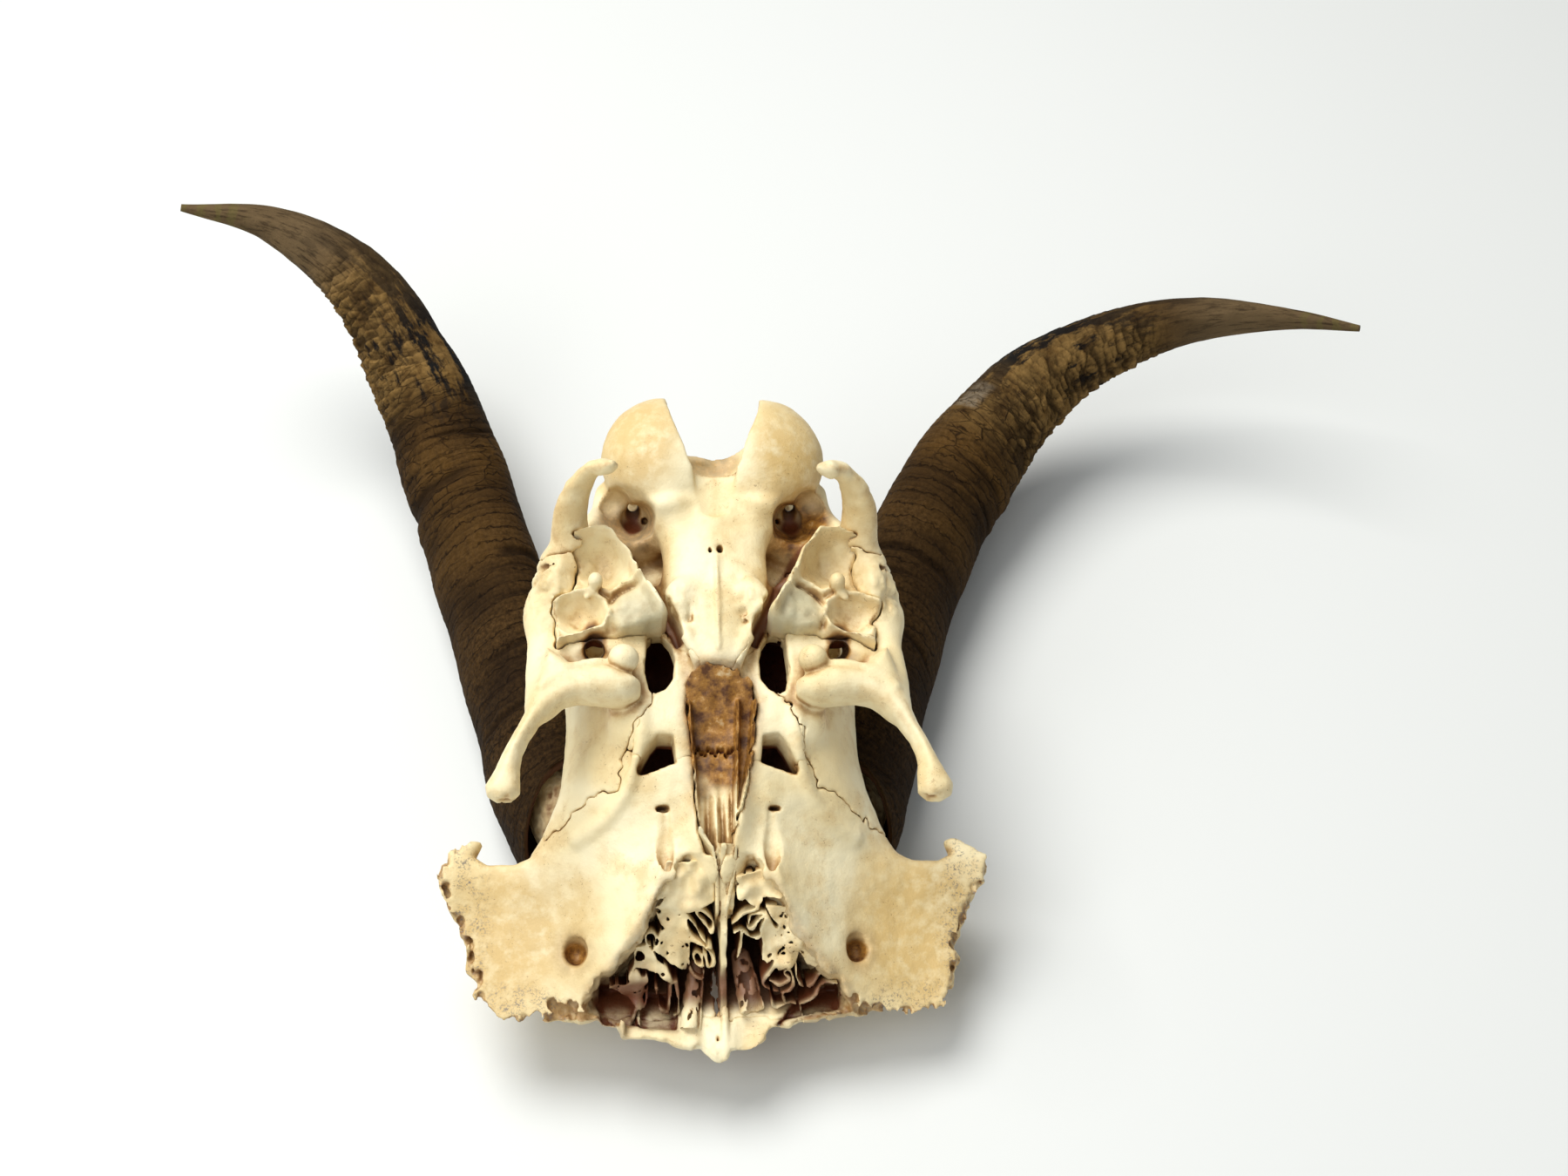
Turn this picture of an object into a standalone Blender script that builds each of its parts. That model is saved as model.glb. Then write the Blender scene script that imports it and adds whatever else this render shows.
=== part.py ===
"""Skull of a billy goat without its face, lying on its forehead and horns with its underside up.

Every size is in millimetres in the skull's own frame: x to its right, y towards the nape, z towards
the underside, with the origin on the front lip of the great foramen. One empty sets how it lies.
Each bone is worked out as a distance field, meshed and thinned, and the skull is parted at its sutures.
"""

import math

import bmesh
import bpy
import numpy as np
import openvdb
from mathutils import Matrix, Vector

MM = 0.001

# Gap between bones, and how far a cutter stands out so that thinned surfaces keep it
GAP = 0.3
CLEARANCE = 0.42

# How the skull lies, in degrees: nape raised, its right side lowered, turned on the table
REST_PITCH = 15.0
REST_ROLL = 4.0
REST_TURN = 2.0

# The block of sample points: one half of the skull, the other is its mirror image
FIELD_STEP = 1.1
FINE_STEP = 0.8
FIELD_LOW = (0.0, -143.0, -78.0)
FIELD_HIGH = (72.6, 25.0, 27.0)
FAR = 60.0

# Triangles that each mesh is thinned to
BONE_TRIANGLES = 5400
TYMPANIC_TRIANGLES = 520
ETHMOID_TRIANGLES = 440
VOMER_TRIANGLES = 620
TURBINATE_TRIANGLES = 200

# Overall landmarks
ORBIT_HALF_BREADTH = 68.6
CONDYLE_HALF_BREADTH = 28.0
BRAINCASE_HALF_WIDTH = 38.0
SNOUT_TIP = (1.0, -139.0)

# Great foramen
FORAMEN_CENTRE_Z = -9.5
FORAMEN_DEPTH = 30.0

# Horns: sides and rings of the mesh, the socket at the base and the bone core in it
HORN_SIDES = 16
HORN_RINGS = 28
SOCKET_RINGS = 4
HORN_BASE_RING = 2
SOCKET_RIM = 0.92
SOCKET_FLOOR = 0.5

LEFT_HORN = (
    (-28.5, -78.0, -44.5), (-36.0, -72.0, -53.8), (-41.2, -60.0, -59.4), (-46.3, -41.0, -65.2),
    (-51.5, -21.0, -71.2), (-57.0, -0.6, -76.4), (-68.6, 38.8, -81.0), (-82.3, 74.3, -76.0),
    (-101.8, 103.1, -66.5), (-124.0, 114.4, -59.8), (-148.6, 115.0, -53.1),
)
RIGHT_HORN = (
    (28.5, -78.0, -44.0), (34.5, -72.0, -50.0), (38.2, -61.0, -53.2), (43.2, -41.0, -58.0),
    (49.4, -20.2, -63.4), (57.0, 1.3, -68.4), (66.0, 22.0, -71.6), (77.0, 41.0, -72.4),
    (104.3, 71.1, -68.2), (138.3, 82.9, -57.7), (172.9, 77.8, -45.9), (188.9, 71.1, -39.6),
)
HORN_STATIONS = (0, 0.15, 0.3, 0.46, 0.54, 0.62, 0.69, 0.77, 0.85, 0.92, 0.97, 1)
LEFT_HALF_WIDTHS = (14.2, 13.8, 13.8, 14.1, 14.2, 13.6, 12.6, 11.1, 8.7, 5.0, 2.4, 1.3)
RIGHT_HALF_WIDTHS = (14.8, 14.8, 14.8, 14.9, 14.3, 11.9, 9.4, 7.3, 4.9, 2.8, 1.8, 1.1)
HORN_HALF_DEPTHS = (21.0, 20.2, 19.4, 18.8, 17.4, 15.2, 12.6, 10.0, 7.2, 4.2, 2.4, 1.3)


def through(t, knots, values):
    """A smooth curve through the values at the knots: cubic steps with central slopes."""
    knots = np.asarray(knots, float)
    values = np.asarray(values, float)
    if knots[0] > knots[-1]:
        knots = knots[::-1]
        values = values[::-1]
    slopes = np.gradient(values, knots, axis=0)
    i = np.clip(np.searchsorted(knots, t) - 1, 0, len(knots) - 2)
    span = knots[i + 1] - knots[i]
    u = np.clip((t - knots[i]) / span, 0, 1)
    if values.ndim > 1:
        u = u[..., None]
        span = span[..., None]
    h00 = (1 + 2 * u) * (1 - u) ** 2
    h10 = u * (1 - u) ** 2
    h01 = u * u * (3 - 2 * u)
    h11 = u * u * (u - 1)
    return h00 * values[i] + h10 * span * slopes[i] + h01 * values[i + 1] + h11 * span * slopes[i + 1]


def curve_through(points, count):
    """Count points, evenly spaced along a smooth curve through the given ones."""
    points = np.asarray(points, float)
    along = np.concatenate([[0], np.cumsum(np.linalg.norm(np.diff(points, axis=0), axis=1))])
    fine = through(np.linspace(0, along[-1], 40 * len(points)), along, points)
    length = np.concatenate([[0], np.cumsum(np.linalg.norm(np.diff(fine, axis=0), axis=1))])
    even = np.linspace(0, length[-1], count)
    return np.stack([np.interp(even, length, fine[:, k]) for k in range(3)], 1)


def smooth_min(a, b, blend):
    """The lesser of two fields, rounded over a width where they cross."""
    if blend <= 0:
        return np.minimum(a, b)
    h = np.clip(0.5 + 0.5 * (b - a) / blend, 0, 1)
    return b + (a - b) * h - blend * h * (1 - h)


def smooth_max(a, b, blend):
    """The greater of two fields, rounded over a width where they cross."""
    return -smooth_min(-a, -b, blend)


class Clay:
    """Sample points in a block, each holding its distance to the surface, negative inside."""

    def __init__(self, low, high, step):
        self.low = np.asarray(low, float)
        self.step = step
        self.axes = [np.arange(a, b + step, step) for a, b in zip(low, high)]
        self.d = np.full([len(axis) for axis in self.axes], FAR, np.float32)

    def window(self, low, high):
        """The samples inside a box, as slices and as three arrays that broadcast together."""
        cut = []
        for axis, a, b in zip(self.axes, low, high):
            cut.append(slice(*np.searchsorted(axis, (a, b))))
        x, y, z = (axis[part] for axis, part in zip(self.axes, cut))
        return tuple(cut), (x[:, None, None], y[None, :, None], z[None, None, :])

    def add(self, shape, blend=2.0):
        """Puts a shape on, with a soft fillet."""
        distance, low, high = shape
        reach = blend + 2 * self.step
        cut, xyz = self.window(np.asarray(low) - reach, np.asarray(high) + reach)
        self.d[cut] = smooth_min(self.d[cut], distance(*xyz), blend)

    def cut(self, shape, blend=1.0):
        """Takes a shape off, with a soft edge."""
        distance, low, high = shape
        reach = blend + 2 * self.step
        cut, xyz = self.window(np.asarray(low) - reach, np.asarray(high) + reach)
        self.d[cut] = smooth_max(self.d[cut], -distance(*xyz), blend)

    def mirrored(self):
        """The whole block, this half on its right and its mirror image on its left."""
        x, y, z = self.axes
        whole = Clay((-x[-1], y[0], z[0]), (x[-1], y[-1], z[-1]), self.step)
        whole.d = np.concatenate([self.d[:0:-1], self.d])
        whole.axes = [np.concatenate([-x[:0:-1], x]), y, z]
        return whole

    def mesh(self, name):
        """The zero level of the field as a mesh object, in metres."""
        reach = 3 * self.step
        grid = openvdb.FloatGrid(reach)
        grid.gridClass = openvdb.GridClass.LEVEL_SET
        grid.copyFromArray(np.clip(self.d, -reach, reach).astype(np.float32))
        points, triangles, quads = grid.convertToPolygons(isovalue=0.0, adaptivity=0.0)
        points = points * self.step + self.low
        faces = [face[::-1] for face in quads.tolist()] + [face[::-1] for face in triangles.tolist()]
        return mesh_object(name, points, faces)


def ball(centre, radii, turn=(0.0, 0.0, 0.0)):
    """An ellipsoid, turned by three angles in degrees about x, y and z."""
    centre = np.asarray(centre, float)
    radii = np.asarray(radii, float)
    spin = np.array(
        Matrix.Rotation(math.radians(turn[2]), 3, "Z")
        @ Matrix.Rotation(math.radians(turn[1]), 3, "Y")
        @ Matrix.Rotation(math.radians(turn[0]), 3, "X")
    )

    def distance(x, y, z):
        p = [x - centre[0], y - centre[1], z - centre[2]]
        local = [sum(spin[j][i] * p[j] for j in range(3)) for i in range(3)]
        near = np.sqrt(sum((q / r) ** 2 for q, r in zip(local, radii)))
        slope = np.sqrt(sum((q / r ** 2) ** 2 for q, r in zip(local, radii)))
        return near * (near - 1) / np.maximum(slope, 1e-6)

    half = np.sqrt(((spin * radii) ** 2).sum(1))
    return distance, centre - half, centre + half


def limb(points, radii, flat=1.0, axis=(0.0, 0.0, 1.0), count=14):
    """A smooth tube through points, its radius following radii, pressed flat along an axis."""
    path = curve_through(points, count)
    radius = through(np.linspace(0, 1, count), np.linspace(0, 1, len(radii)), radii)
    axis = np.asarray(axis, float) / np.linalg.norm(axis)
    squeeze = 1 / flat - 1

    def stretched(p):
        along = sum(q * a for q, a in zip(p, axis))
        return [q + squeeze * along * a for q, a in zip(p, axis)]

    nodes = np.stack(stretched(path.T), 1)

    def distance(x, y, z):
        p = stretched([x, y, z])
        best = None
        for a, b, ra, rb in zip(nodes[:-1], nodes[1:], radius[:-1], radius[1:]):
            step = b - a
            t = sum((q - o) * s for q, o, s in zip(p, a, step)) / max(step @ step, 1e-9)
            t = np.clip(t, 0, 1)
            away = np.sqrt(sum((q - o - t * s) ** 2 for q, o, s in zip(p, a, step)))
            away = away - (ra + t * (rb - ra))
            best = away if best is None else np.minimum(best, away)
        return best * flat

    most = max(radii)
    return distance, path.min(0) - most, path.max(0) + most


def loft(y_at, width, middle, under, over, power=2.0, round_end=4.0):
    """A body along y: at each station its half width, mid height, and half heights each way."""
    first, last = min(y_at), max(y_at)

    def distance(x, y, z):
        w = through(y, y_at, width)
        mid = through(y, y_at, middle)
        up = through(y, y_at, under)
        down = through(y, y_at, over)
        h = np.where(z > mid, up, down)
        ring = ((np.abs(x) / w) ** power + (np.abs(z - mid) / h) ** power) ** (1 / power)
        side = (ring - 1) * np.minimum(w, h)
        ends = np.maximum(first - y, y - last)
        return smooth_max(side, ends, round_end)

    widest = max(width)
    low = (-widest, first, min(m - o for m, o in zip(middle, over)))
    high = (widest, last, max(m + u for m, u in zip(middle, under)))
    return distance, low, high


def inside_outline(x, y, outline):
    """Signed distance in the plan to a closed outline, negative inside."""
    best = np.full(np.broadcast(x, y).shape, 1e9)
    sign = np.ones(best.shape)
    for (ax, ay), (bx, by) in zip(outline, np.roll(outline, -1, axis=0)):
        ex, ey = bx - ax, by - ay
        wx, wy = x - ax, y - ay
        t = np.clip((wx * ex + wy * ey) / max(ex * ex + ey * ey, 1e-9), 0, 1)
        best = np.minimum(best, (wx - t * ex) ** 2 + (wy - t * ey) ** 2)
        above, below = y >= ay, y < by
        left = ex * wy > ey * wx
        flip = (above & below & left) | (~above & ~below & ~left)
        sign = np.where(flip, -sign, sign)
    return sign * np.sqrt(best)


def level(z):
    """A flat height, as the function of x and y that a sheet takes."""
    return lambda x, y: z + 0 * x + 0 * y


def sheet(outline, lower, upper, rounding=1.5):
    """The body between two heights, each a function of x and y, inside an outline in the plan."""
    outline = np.asarray(outline, float)

    def distance(x, y, z):
        flat = inside_outline(x[:, :, 0], y[:, :, 0], outline)[:, :, None]
        bottom = lower(x, y)
        top = upper(x, y)
        slab = np.maximum(bottom - z, z - top) * 0.8
        return smooth_max(slab, flat, rounding)

    low = (*outline.min(0), -78.0)
    high = (*outline.max(0), 10.0)
    return distance, low, high


def from_curve(x, y, points):
    """Distance in the plan to a polyline."""
    points = np.asarray(points, float)
    best = np.full(np.broadcast(x, y).shape, FAR)
    for (ax, ay), (bx, by) in zip(points[:-1], points[1:]):
        ex, ey = bx - ax, by - ay
        t = np.clip(((x - ax) * ex + (y - ay) * ey) / (ex * ex + ey * ey), 0, 1)
        best = np.minimum(best, np.hypot(x - ax - t * ex, y - ay - t * ey))
    return best


def mesh_object(name, points, faces):
    """A mesh object from points in millimetres."""
    mesh = bpy.data.meshes.new(name)
    mesh.from_pydata((np.asarray(points) * MM).tolist(), [], faces)
    mesh.update()
    obj = bpy.data.objects.new(name, mesh)
    bpy.context.scene.collection.objects.link(obj)
    return obj


def apply_modifiers(obj):
    """Makes the evaluated mesh the object's own."""
    graph = bpy.context.evaluated_depsgraph_get()
    mesh = bpy.data.meshes.new_from_object(obj.evaluated_get(graph))
    obj.modifiers.clear()
    obj.data = mesh


def triangulated(obj):
    """Splits every face into triangles."""
    edit = bmesh.new()
    edit.from_mesh(obj.data)
    bmesh.ops.triangulate(edit, faces=edit.faces)
    edit.to_mesh(obj.data)
    edit.free()


def thin_to(obj, triangles):
    """Thins the mesh to about this many triangles, keeping its form."""
    triangulated(obj)
    thin = obj.modifiers.new("thin", "DECIMATE")
    thin.ratio = min(1.0, triangles / len(obj.data.polygons))
    apply_modifiers(obj)


def boolean(obj, other, operation):
    """Changes the object by another with a Boolean."""
    change = obj.modifiers.new(operation, "BOOLEAN")
    change.operation = operation
    change.object = other
    change.solver = "EXACT"
    change.use_self = True
    apply_modifiers(obj)


def loose_parts(obj):
    """The mesh's separate closed surfaces, largest first: volume, points in millimetres, faces."""
    edit = bmesh.new()
    edit.from_mesh(obj.data)
    bmesh.ops.triangulate(edit, faces=edit.faces)
    edit.faces.ensure_lookup_table()
    seen = set()
    parts = []
    for start in edit.faces:
        if start.index in seen:
            continue
        group = []
        stack = [start]
        seen.add(start.index)
        while stack:
            face = stack.pop()
            group.append(face)
            for edge in face.edges:
                for near in edge.link_faces:
                    if near.index not in seen:
                        seen.add(near.index)
                        stack.append(near)
        index = {}
        faces = []
        for face in group:
            faces.append([index.setdefault(v.index, len(index)) for v in face.verts])
        edit.verts.ensure_lookup_table()
        points = np.array([edit.verts[i].co[:] for i in index]) / MM
        corners = points[np.array(faces)]
        volume = np.linalg.det(corners).sum() / 6
        parts.append((volume, points, faces))
    edit.free()
    return sorted(parts, key=lambda part: -part[0])


def keep_largest(obj):
    """Keeps only the surface that holds the most volume."""
    points, faces = loose_parts(obj)[0][1:]
    name = obj.name
    bpy.data.objects.remove(obj)
    return mesh_object(name, points, faces)


# Heights of the frontal bone: its outer face below, the orbit's roof above
def forehead(x, y):
    """Outer face of the skull roof: a midline profile that curves up to each side."""
    middle = through(y, (0, -10, -25, -49, -65, -80, -95, -110, -125, -139),
                     (-34, -49, -60, -69, -71, -69.5, -63, -52, -39.5, -35.5))
    curl = through(y, (-60, -80, -91, -104, -120, -139), (0.016, 0.0118, 0.0069, 0.0047, 0.0012, 0.0003))
    return middle + curl * np.abs(x) ** 2


def orbit_roof(x, y):
    """The hollow roof of the orbit, from its inner wall out to the rim."""
    inner_x = through(y, (-70, -84, -104, -119, -139), (10, 13, 16, 27, 34))
    inner_z = through(y, (-70, -84, -104, -119, -139), (-8, -12, -14, -26, -35))
    rim_x = through(y, (-70, -84, -91, -104, -120, -139), (60, 62, 67, 63, 58, 50))
    rim_z = through(y, (-70, -84, -91, -104, -120, -139), (-31, -31, -30, -34, -36, -36))
    sag = through(y, (-70, -84, -104, -119, -139), (6, 7, 7, 3, 0))
    s = np.clip((np.abs(x) - inner_x) / (rim_x - inner_x), 0, 1)
    return inner_z + (rim_z - inner_z) * s - sag * 4 * s * (1 - s)


def braincase(clay):
    """The box of the brain, wide and square behind, cut off by the flat face of the nape."""
    stations = (2, -8, -20, -40, -55, -70, -85, -100)
    width = (27, 33, 36.5, 37, 36.5, BRAINCASE_HALF_WIDTH, 42, 45)
    middle = (-36, -38, -38, -37, -36, -36, -38, -42)
    under = (12, 18, 25, 30, 31, 31, 25, 12)
    over = (12, 17, 22, 29, 33, 34, 31, 20)
    clay.add(loft(stations, width, middle, under, over, 2.2, 8.0))
    clay.add(loft((22, 8, -4, -16), (17, 23, 28, 33), (-27, -30, -35, -38), (13, 14, 16, 16),
                  (10, 13, 16, 18), 2.4, 3.0), 5.0)
    cut, (x, y, z) = clay.window((-FAR, -20, -2 * FAR), (2 * FAR, FAR, FAR))
    clay.d[cut] = smooth_max(clay.d[cut], 0.78 * (y - 17) - 0.625 * (z + 20), 3.0)


def skull_base(clay):
    """The bar of bone from the condyles forward, with its two pairs of tubercles and middle ridge."""
    clay.add(loft((3, -8.7, -17, -28, -35, -42, -52, -60), (12, 16.2, 13.2, 12.8, 11.0, 8.4, 6.0, 6),
                  (-6, -6, -6, -6, -6, -6, -7, -8), (6.3, 8.4, 8.2, 8.4, 9.4, 8.5, 8, 7),
                  (8, 8, 8, 8, 8, 8, 8, 8), 2.6, 2.0), 3.0)
    clay.add(ball((9.0, -33.6, 1.4), (3.9, 5.8, 3.0), (0, 0, 20)), 2.0)
    clay.add(limb([(16.2, -6.4, -1.5), (13.6, -8.2, 1.6), (9.6, -8.0, 2.2), (5.5, -7.2, 1.4)],
                  (1.8, 1.9, 1.6, 1.2)), 1.4)
    clay.add(limb([(0, -22.5, 1.8), (0, -36, 3.2), (0, -47, 1.8)], (1.0, 1.1, 1.0)), 1.0)
    clay.add(limb([(10.8, -36, 0.4), (7.4, -43, 0.6), (4.2, -50, -1.2)], (2.2, 1.8, 1.4)), 2.0)
    clay.add(loft((-50, -60, -75, -92, -100), (8, 9.5, 8.5, 7.5, 5), (-12, -12, -13, -17, -21),
                  (8, 8, 8, 8, 7), (8, 8, 8, 8, 8), 2.4, 2.0), 3.0)
    clay.add(ball((14, -61, -9), (12, 9, 6)), 4.0)
    clay.cut(ball((7.0, -14.0, 6.6), (4.6, 9, 4.0), (0, 0, 12)), 3.0)


NOTCH_OUTLINE = (
    (-1, 0.5), (5.2, 0.6), (6.3, 1.6), (7.9, 6.9), (10.2, 12.9), (11.6, 18.5), (12.6, 30), (-1, 30),
)
LANDING_OUTLINE = ((-1, -12), (3.0, -11), (4.4, -7), (5.2, -2), (5.6, 1.2), (-1, 1.2))
FOSSA_OUTLINE = (
    (28.4, -0.4), (24.5, -1.4), (20.5, -3.6), (17.2, -6.0), (15.0, -9.0), (14.8, -12.2), (20.4, -15.6),
    (30.4, -12.0), (30.6, -4.5),
)


def fossa_floor(x, y):
    """Depth of the hollow beside the condyle, with a pit towards its inner end."""
    return -6.5 - 9 * np.exp(-((x - 20.5) ** 2 + (y + 7) ** 2) / 36)


def condyles(clay):
    """A dome on each side of the great foramen, drawn forward into a neck, with a hollow beside it."""
    dome_x = 11.6
    clay.add(ball((dome_x, 7.4, -5.5), (CONDYLE_HALF_BREADTH - dome_x, 16.8, 13.4), (0, 0, -8)), 1.5)
    clay.add(limb([(14.0, 6, -4.5), (12.0, -1, -3.0), (11.0, -7, -2.4)], (9.6, 6.4, 5.0)), 3.0)
    clay.add(limb([(14, -6, -14), (24, -10, -16), (34, -18, -10)], (8, 8.5, 7)), 4.0)
    clay.add(limb([(26.6, 2, -13), (27.4, -4, -12), (30, -11, -9.5), (35, -17, -8)], (3.0, 3.2, 3.4, 4)), 2.5)
    clay.cut(sheet(FOSSA_OUTLINE, fossa_floor, level(12), 2.4), 1.3)
    clay.cut(sheet(LANDING_OUTLINE, lambda x, y: 0.3 + 0.06 * x ** 2 - 0.1 * y, level(20), 1.0), 0.8)
    clay.cut(ball((30.0, -6.0, 2.5), (3.6, 5.2, 9.0), (0, 10, -28)), 1.2)


def great_foramen(clay):
    """The channel for the spinal cord, open above as a straight-lipped notch between the condyles."""
    clay.cut(loft((-FORAMEN_DEPTH, -3, 10, 20, 32), (8, 8.0, 9.6, 11.5, 13), (FORAMEN_CENTRE_Z - 0.5,) * 5,
                  (7, 8.0, 9.4, 11, 12), (7, 9.5, 10.2, 10.6, 11), 2.3, 0.5), 0.5)
    clay.cut(sheet(NOTCH_OUTLINE, level(FORAMEN_CENTRE_Z), level(20), 0.5), 0.5)
    clay.add(limb([(0, 13.4, -20.8), (6, 14.6, -20.6), (12, 12, -21.5)], (1.4, 1.4, 1.6)), 1.0)


def jugular_process(clay):
    """The hooked blade of bone beside each condyle, curling inwards at its flattened tip."""
    clay.add(limb([(35.8, -22, -6), (35.6, -16.8, -1), (35.5, -12.4, 4.5), (34.0, -8.9, 10),
                   (31.2, -6.8, 14.8), (28.4, -6.5, 17.8), (26.6, -7.6, 19.0)],
                  (6.4, 5.5, 4.7, 4.2, 3.5, 2.9, 2.6), 0.66, (0.4, 1, 0.1)), 3.0)


SLIT_BESIDE_BASE = (
    (22.5, -14.5), (19.2, -17.0), (16.2, -22.5), (14.2, -28.5), (12.2, -33.5), (9.6, -38.5), (8.2, -43.0),
    (9.8, -44.0), (11.4, -39.4), (13.8, -34.4), (16.0, -29.0), (18.4, -23.5), (20.8, -18.6), (24, -15.8),
)


def ear_region(clay):
    """The mastoid knob, the ridge from it to the jaw joint, and the floor under the ear drum bone."""
    clay.add(ball((39, -27.5, -9.5), (5.6, 10.5, 11.5)), 4.0)
    clay.add(ball((42.4, -34, -8.5), (3.4, 5, 5)), 3.0)
    ridge = [(40.8, -32, -10), (42, -42, -7), (42.6, -52, -3.5), (42.4, -60, -1.5)]
    clay.add(limb(ridge, (4.2, 3.4, 3.4, 3.6)), 6.0)
    clay.add(ball((27, -32, -9), (13, 13, 8)), 4.0)
    clay.add(ball((28, -45, -9), (15, 8, 7)), 4.0)
    clay.add(ball((16, -50, -10), (11, 10, 7)), 4.0)
    clay.cut(sheet(SLIT_BESIDE_BASE, level(-9), level(10), 0.8), 0.5)


ARM_OUTLINE = (
    (41.0, -46), (43.4, -54), (44.9, -60), (47.6, -66.7), (50.5, -72.3), (53.1, -78.0), (55.0, -81.3),
    (54.4, -84.0), (51.5, -85.6), (48.4, -85.4), (46.3, -83.2), (46.3, -80.5), (46.6, -77.0), (46.2, -73.5),
    (44.8, -70.0), (42.3, -66.0), (39.6, -63.2), (36.4, -61.2), (33.2, -60.2), (29.0, -59.8), (25.5, -60.0),
    (22.5, -59.2), (20.2, -57.6), (19.4, -55.6), (22.4, -53.9), (24.8, -52.4), (29.3, -51.8), (34.0, -52.2),
    (37, -49),
)


def joint_top(x, y):
    """Upper face of the jaw joint's cross bar and of its free arm."""
    return 4.6 + through(x, (18, 26, 36, 44, 50, 56), (-0.4, 0.9, 0.4, -0.6, -0.2, -0.8)) + 0 * y


def joint_bottom(x, y):
    """Lower face of the same, thinner towards the arm's tip."""
    return through(x, (18, 30, 40, 46, 56), (-8, -7, -5.0, -3.4, -3.0)) + 0 * y


def jaw_joint(clay):
    """The smooth cross bar for the lower jaw, its knob behind, and the ribbon of bone that reaches forward."""
    clay.add(sheet(ARM_OUTLINE, joint_bottom, joint_top, 3.6), 2.2)
    clay.add(ball((27.0, -56.8, -0.2), (8.0, 3.6, 4.8), (0, 0, 4)), 3.0)
    clay.add(ball((22.6, -50.2, 3.4), (3.5, 3.3, 3.6)), 1.0)
    clay.add(limb([(23.1, -51, 0.5), (23.6, -56, 0)], (2.0, 2.6)), 1.5)
    clay.cut(limb([(29.6, -46.9, 3), (29.6, -45.6, -3), (29.4, -41, -13)], (2.6, 2.3, 2.5)), 0.5)
    clay.cut(limb([(26, -48.2, -1.6), (30, -47.2, -1.8), (35, -47.6, -0.6)], (1.6, 2.0, 1.4)), 1.2)


OVAL_OUTLINE = (
    (16.8, -42.5), (15.4, -41.2), (13.4, -41.4), (11.2, -44.2), (10.2, -48), (10.6, -52.4), (12.6, -55.4),
    (15.0, -56.6), (16.6, -55.8), (17.6, -51),
)
ROUND_HOLE_OUTLINE = (
    (14.4, -66.4), (10.8, -66.8), (10.2, -70), (10.0, -75.0), (19.0, -76.8), (19.4, -75.2), (17.4, -71.5),
    (16.0, -68.5),
)


def base_holes(clay):
    """The oval hole, the hole behind the orbit with the crest beside it, and the small ones in front."""
    clay.add(limb([(18.6, -61, -5), (18.3, -66, -4.6), (18.9, -70, -6.0), (20.4, -75, -9.5), (22.6, -79.5, -13),
                   (27, -83.5, -17.5), (33.5, -86.5, -23)], (1.8, 1.6, 1.4, 1.4, 1.4, 1.4, 1.6)), 2.0)
    clay.cut(sheet(OVAL_OUTLINE, level(-20), level(10), 1.0), 0.8)
    clay.cut(sheet(ROUND_HOLE_OUTLINE, level(-20), level(10), 1.0), 0.6)
    clay.cut(ball((13.4, -82.6, -11), (1.7, 1.1, 4)), 0.3)
    clay.cut(ball((33.8, -112.2, -33), (2.4, 2.8, 7)), 0.5)


FRONTAL_OUTLINE = (
    (0, -66), (30, -68), (38, -78), (42, -84.5), (45.2, -87.8), (49, -89.0), (55.4, -89.0), (58.4, -87.4),
    (56.4, -84.0), (57.0, -82.6), (61, -82.0), (66.4, -83.6), (69.4, -88), (69, -94), (66.5, -99.5),
    (64, -104.5), (61.5, -109.5), (61, -116), (59.8, -121), (57, -126), (51, -128.8), (41, -129.4), (29, -129),
    (24, -129.5), (24, -132.6), (15, -132.6), (8, -135.5), (4, -136.6), SNOUT_TIP, (-4, -139), (-4, -66),
)
CAVITY_OUTLINE = (
    (-6, -91), (5, -91), (10, -96.5), (15, -105), (21, -114), (30.5, -121.5), (31, -126.2), (22, -128.5),
    (22, -145), (-6, -145),
)


def frontal_bones(clay):
    """The forehead and orbit roofs, hollowed in front into the nasal cavity and frontal sinus."""
    clay.add(sheet(FRONTAL_OUTLINE, forehead, orbit_roof, 2.5), 4.0)
    clay.cut(sheet(CAVITY_OUTLINE, lambda x, y: forehead(x, y) + 3.2, level(20), 1.0), 0.8)


# Broken edge of the orbit roofs, one outline for each side
RIM_RIGHT = (
    (0, -60), (44, -60), (44.6, -86.6), (48.9, -88.2), (55.5, -88.4), (58.0, -86.9), (56.8, -84.2), (61, -83.0),
    (66.0, -84.2), (ORBIT_HALF_BREADTH, -87.7), (68.4, -91), (65.9, -95), (63.0, -100), (61.4, -105),
    (59.3, -109.5), (60.2, -113.4), (58.2, -119.6), (56.0, -124.6), (51.6, -127.0), (47.3, -127.4),
    (41.2, -127.2), (36.1, -126.6), (29.7, -127.0), (21.0, -128.4), (13.5, -130.2), (12.4, -132.6), (8.8, -134.8),
    (4.2, -134.8), (2.2, -138.2), (0, -138.6),
)
RIM_LEFT = (
    (0, -60), (44, -60), (45.2, -88.2), (49.1, -89.4), (55.2, -89.4), (57.3, -87.8), (55.6, -85.2), (56.8, -83.4),
    (60.6, -83.6), (65.6, -86.6), (67.2, -91.8), (65.3, -98.9), (62.4, -104.0), (59.6, -110.2), (60.0, -114.5),
    (57.2, -117.2), (58.6, -120.1), (55.9, -125), (51.4, -128.0), (46.1, -128), (41.1, -128.4), (28.5, -127.9),
    (20.5, -128.6), (23.4, -129.9), (23.4, -131.8), (16.0, -131.8), (9.0, -134.3), (3.9, -134.6), (0, -138.6),
)


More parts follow.
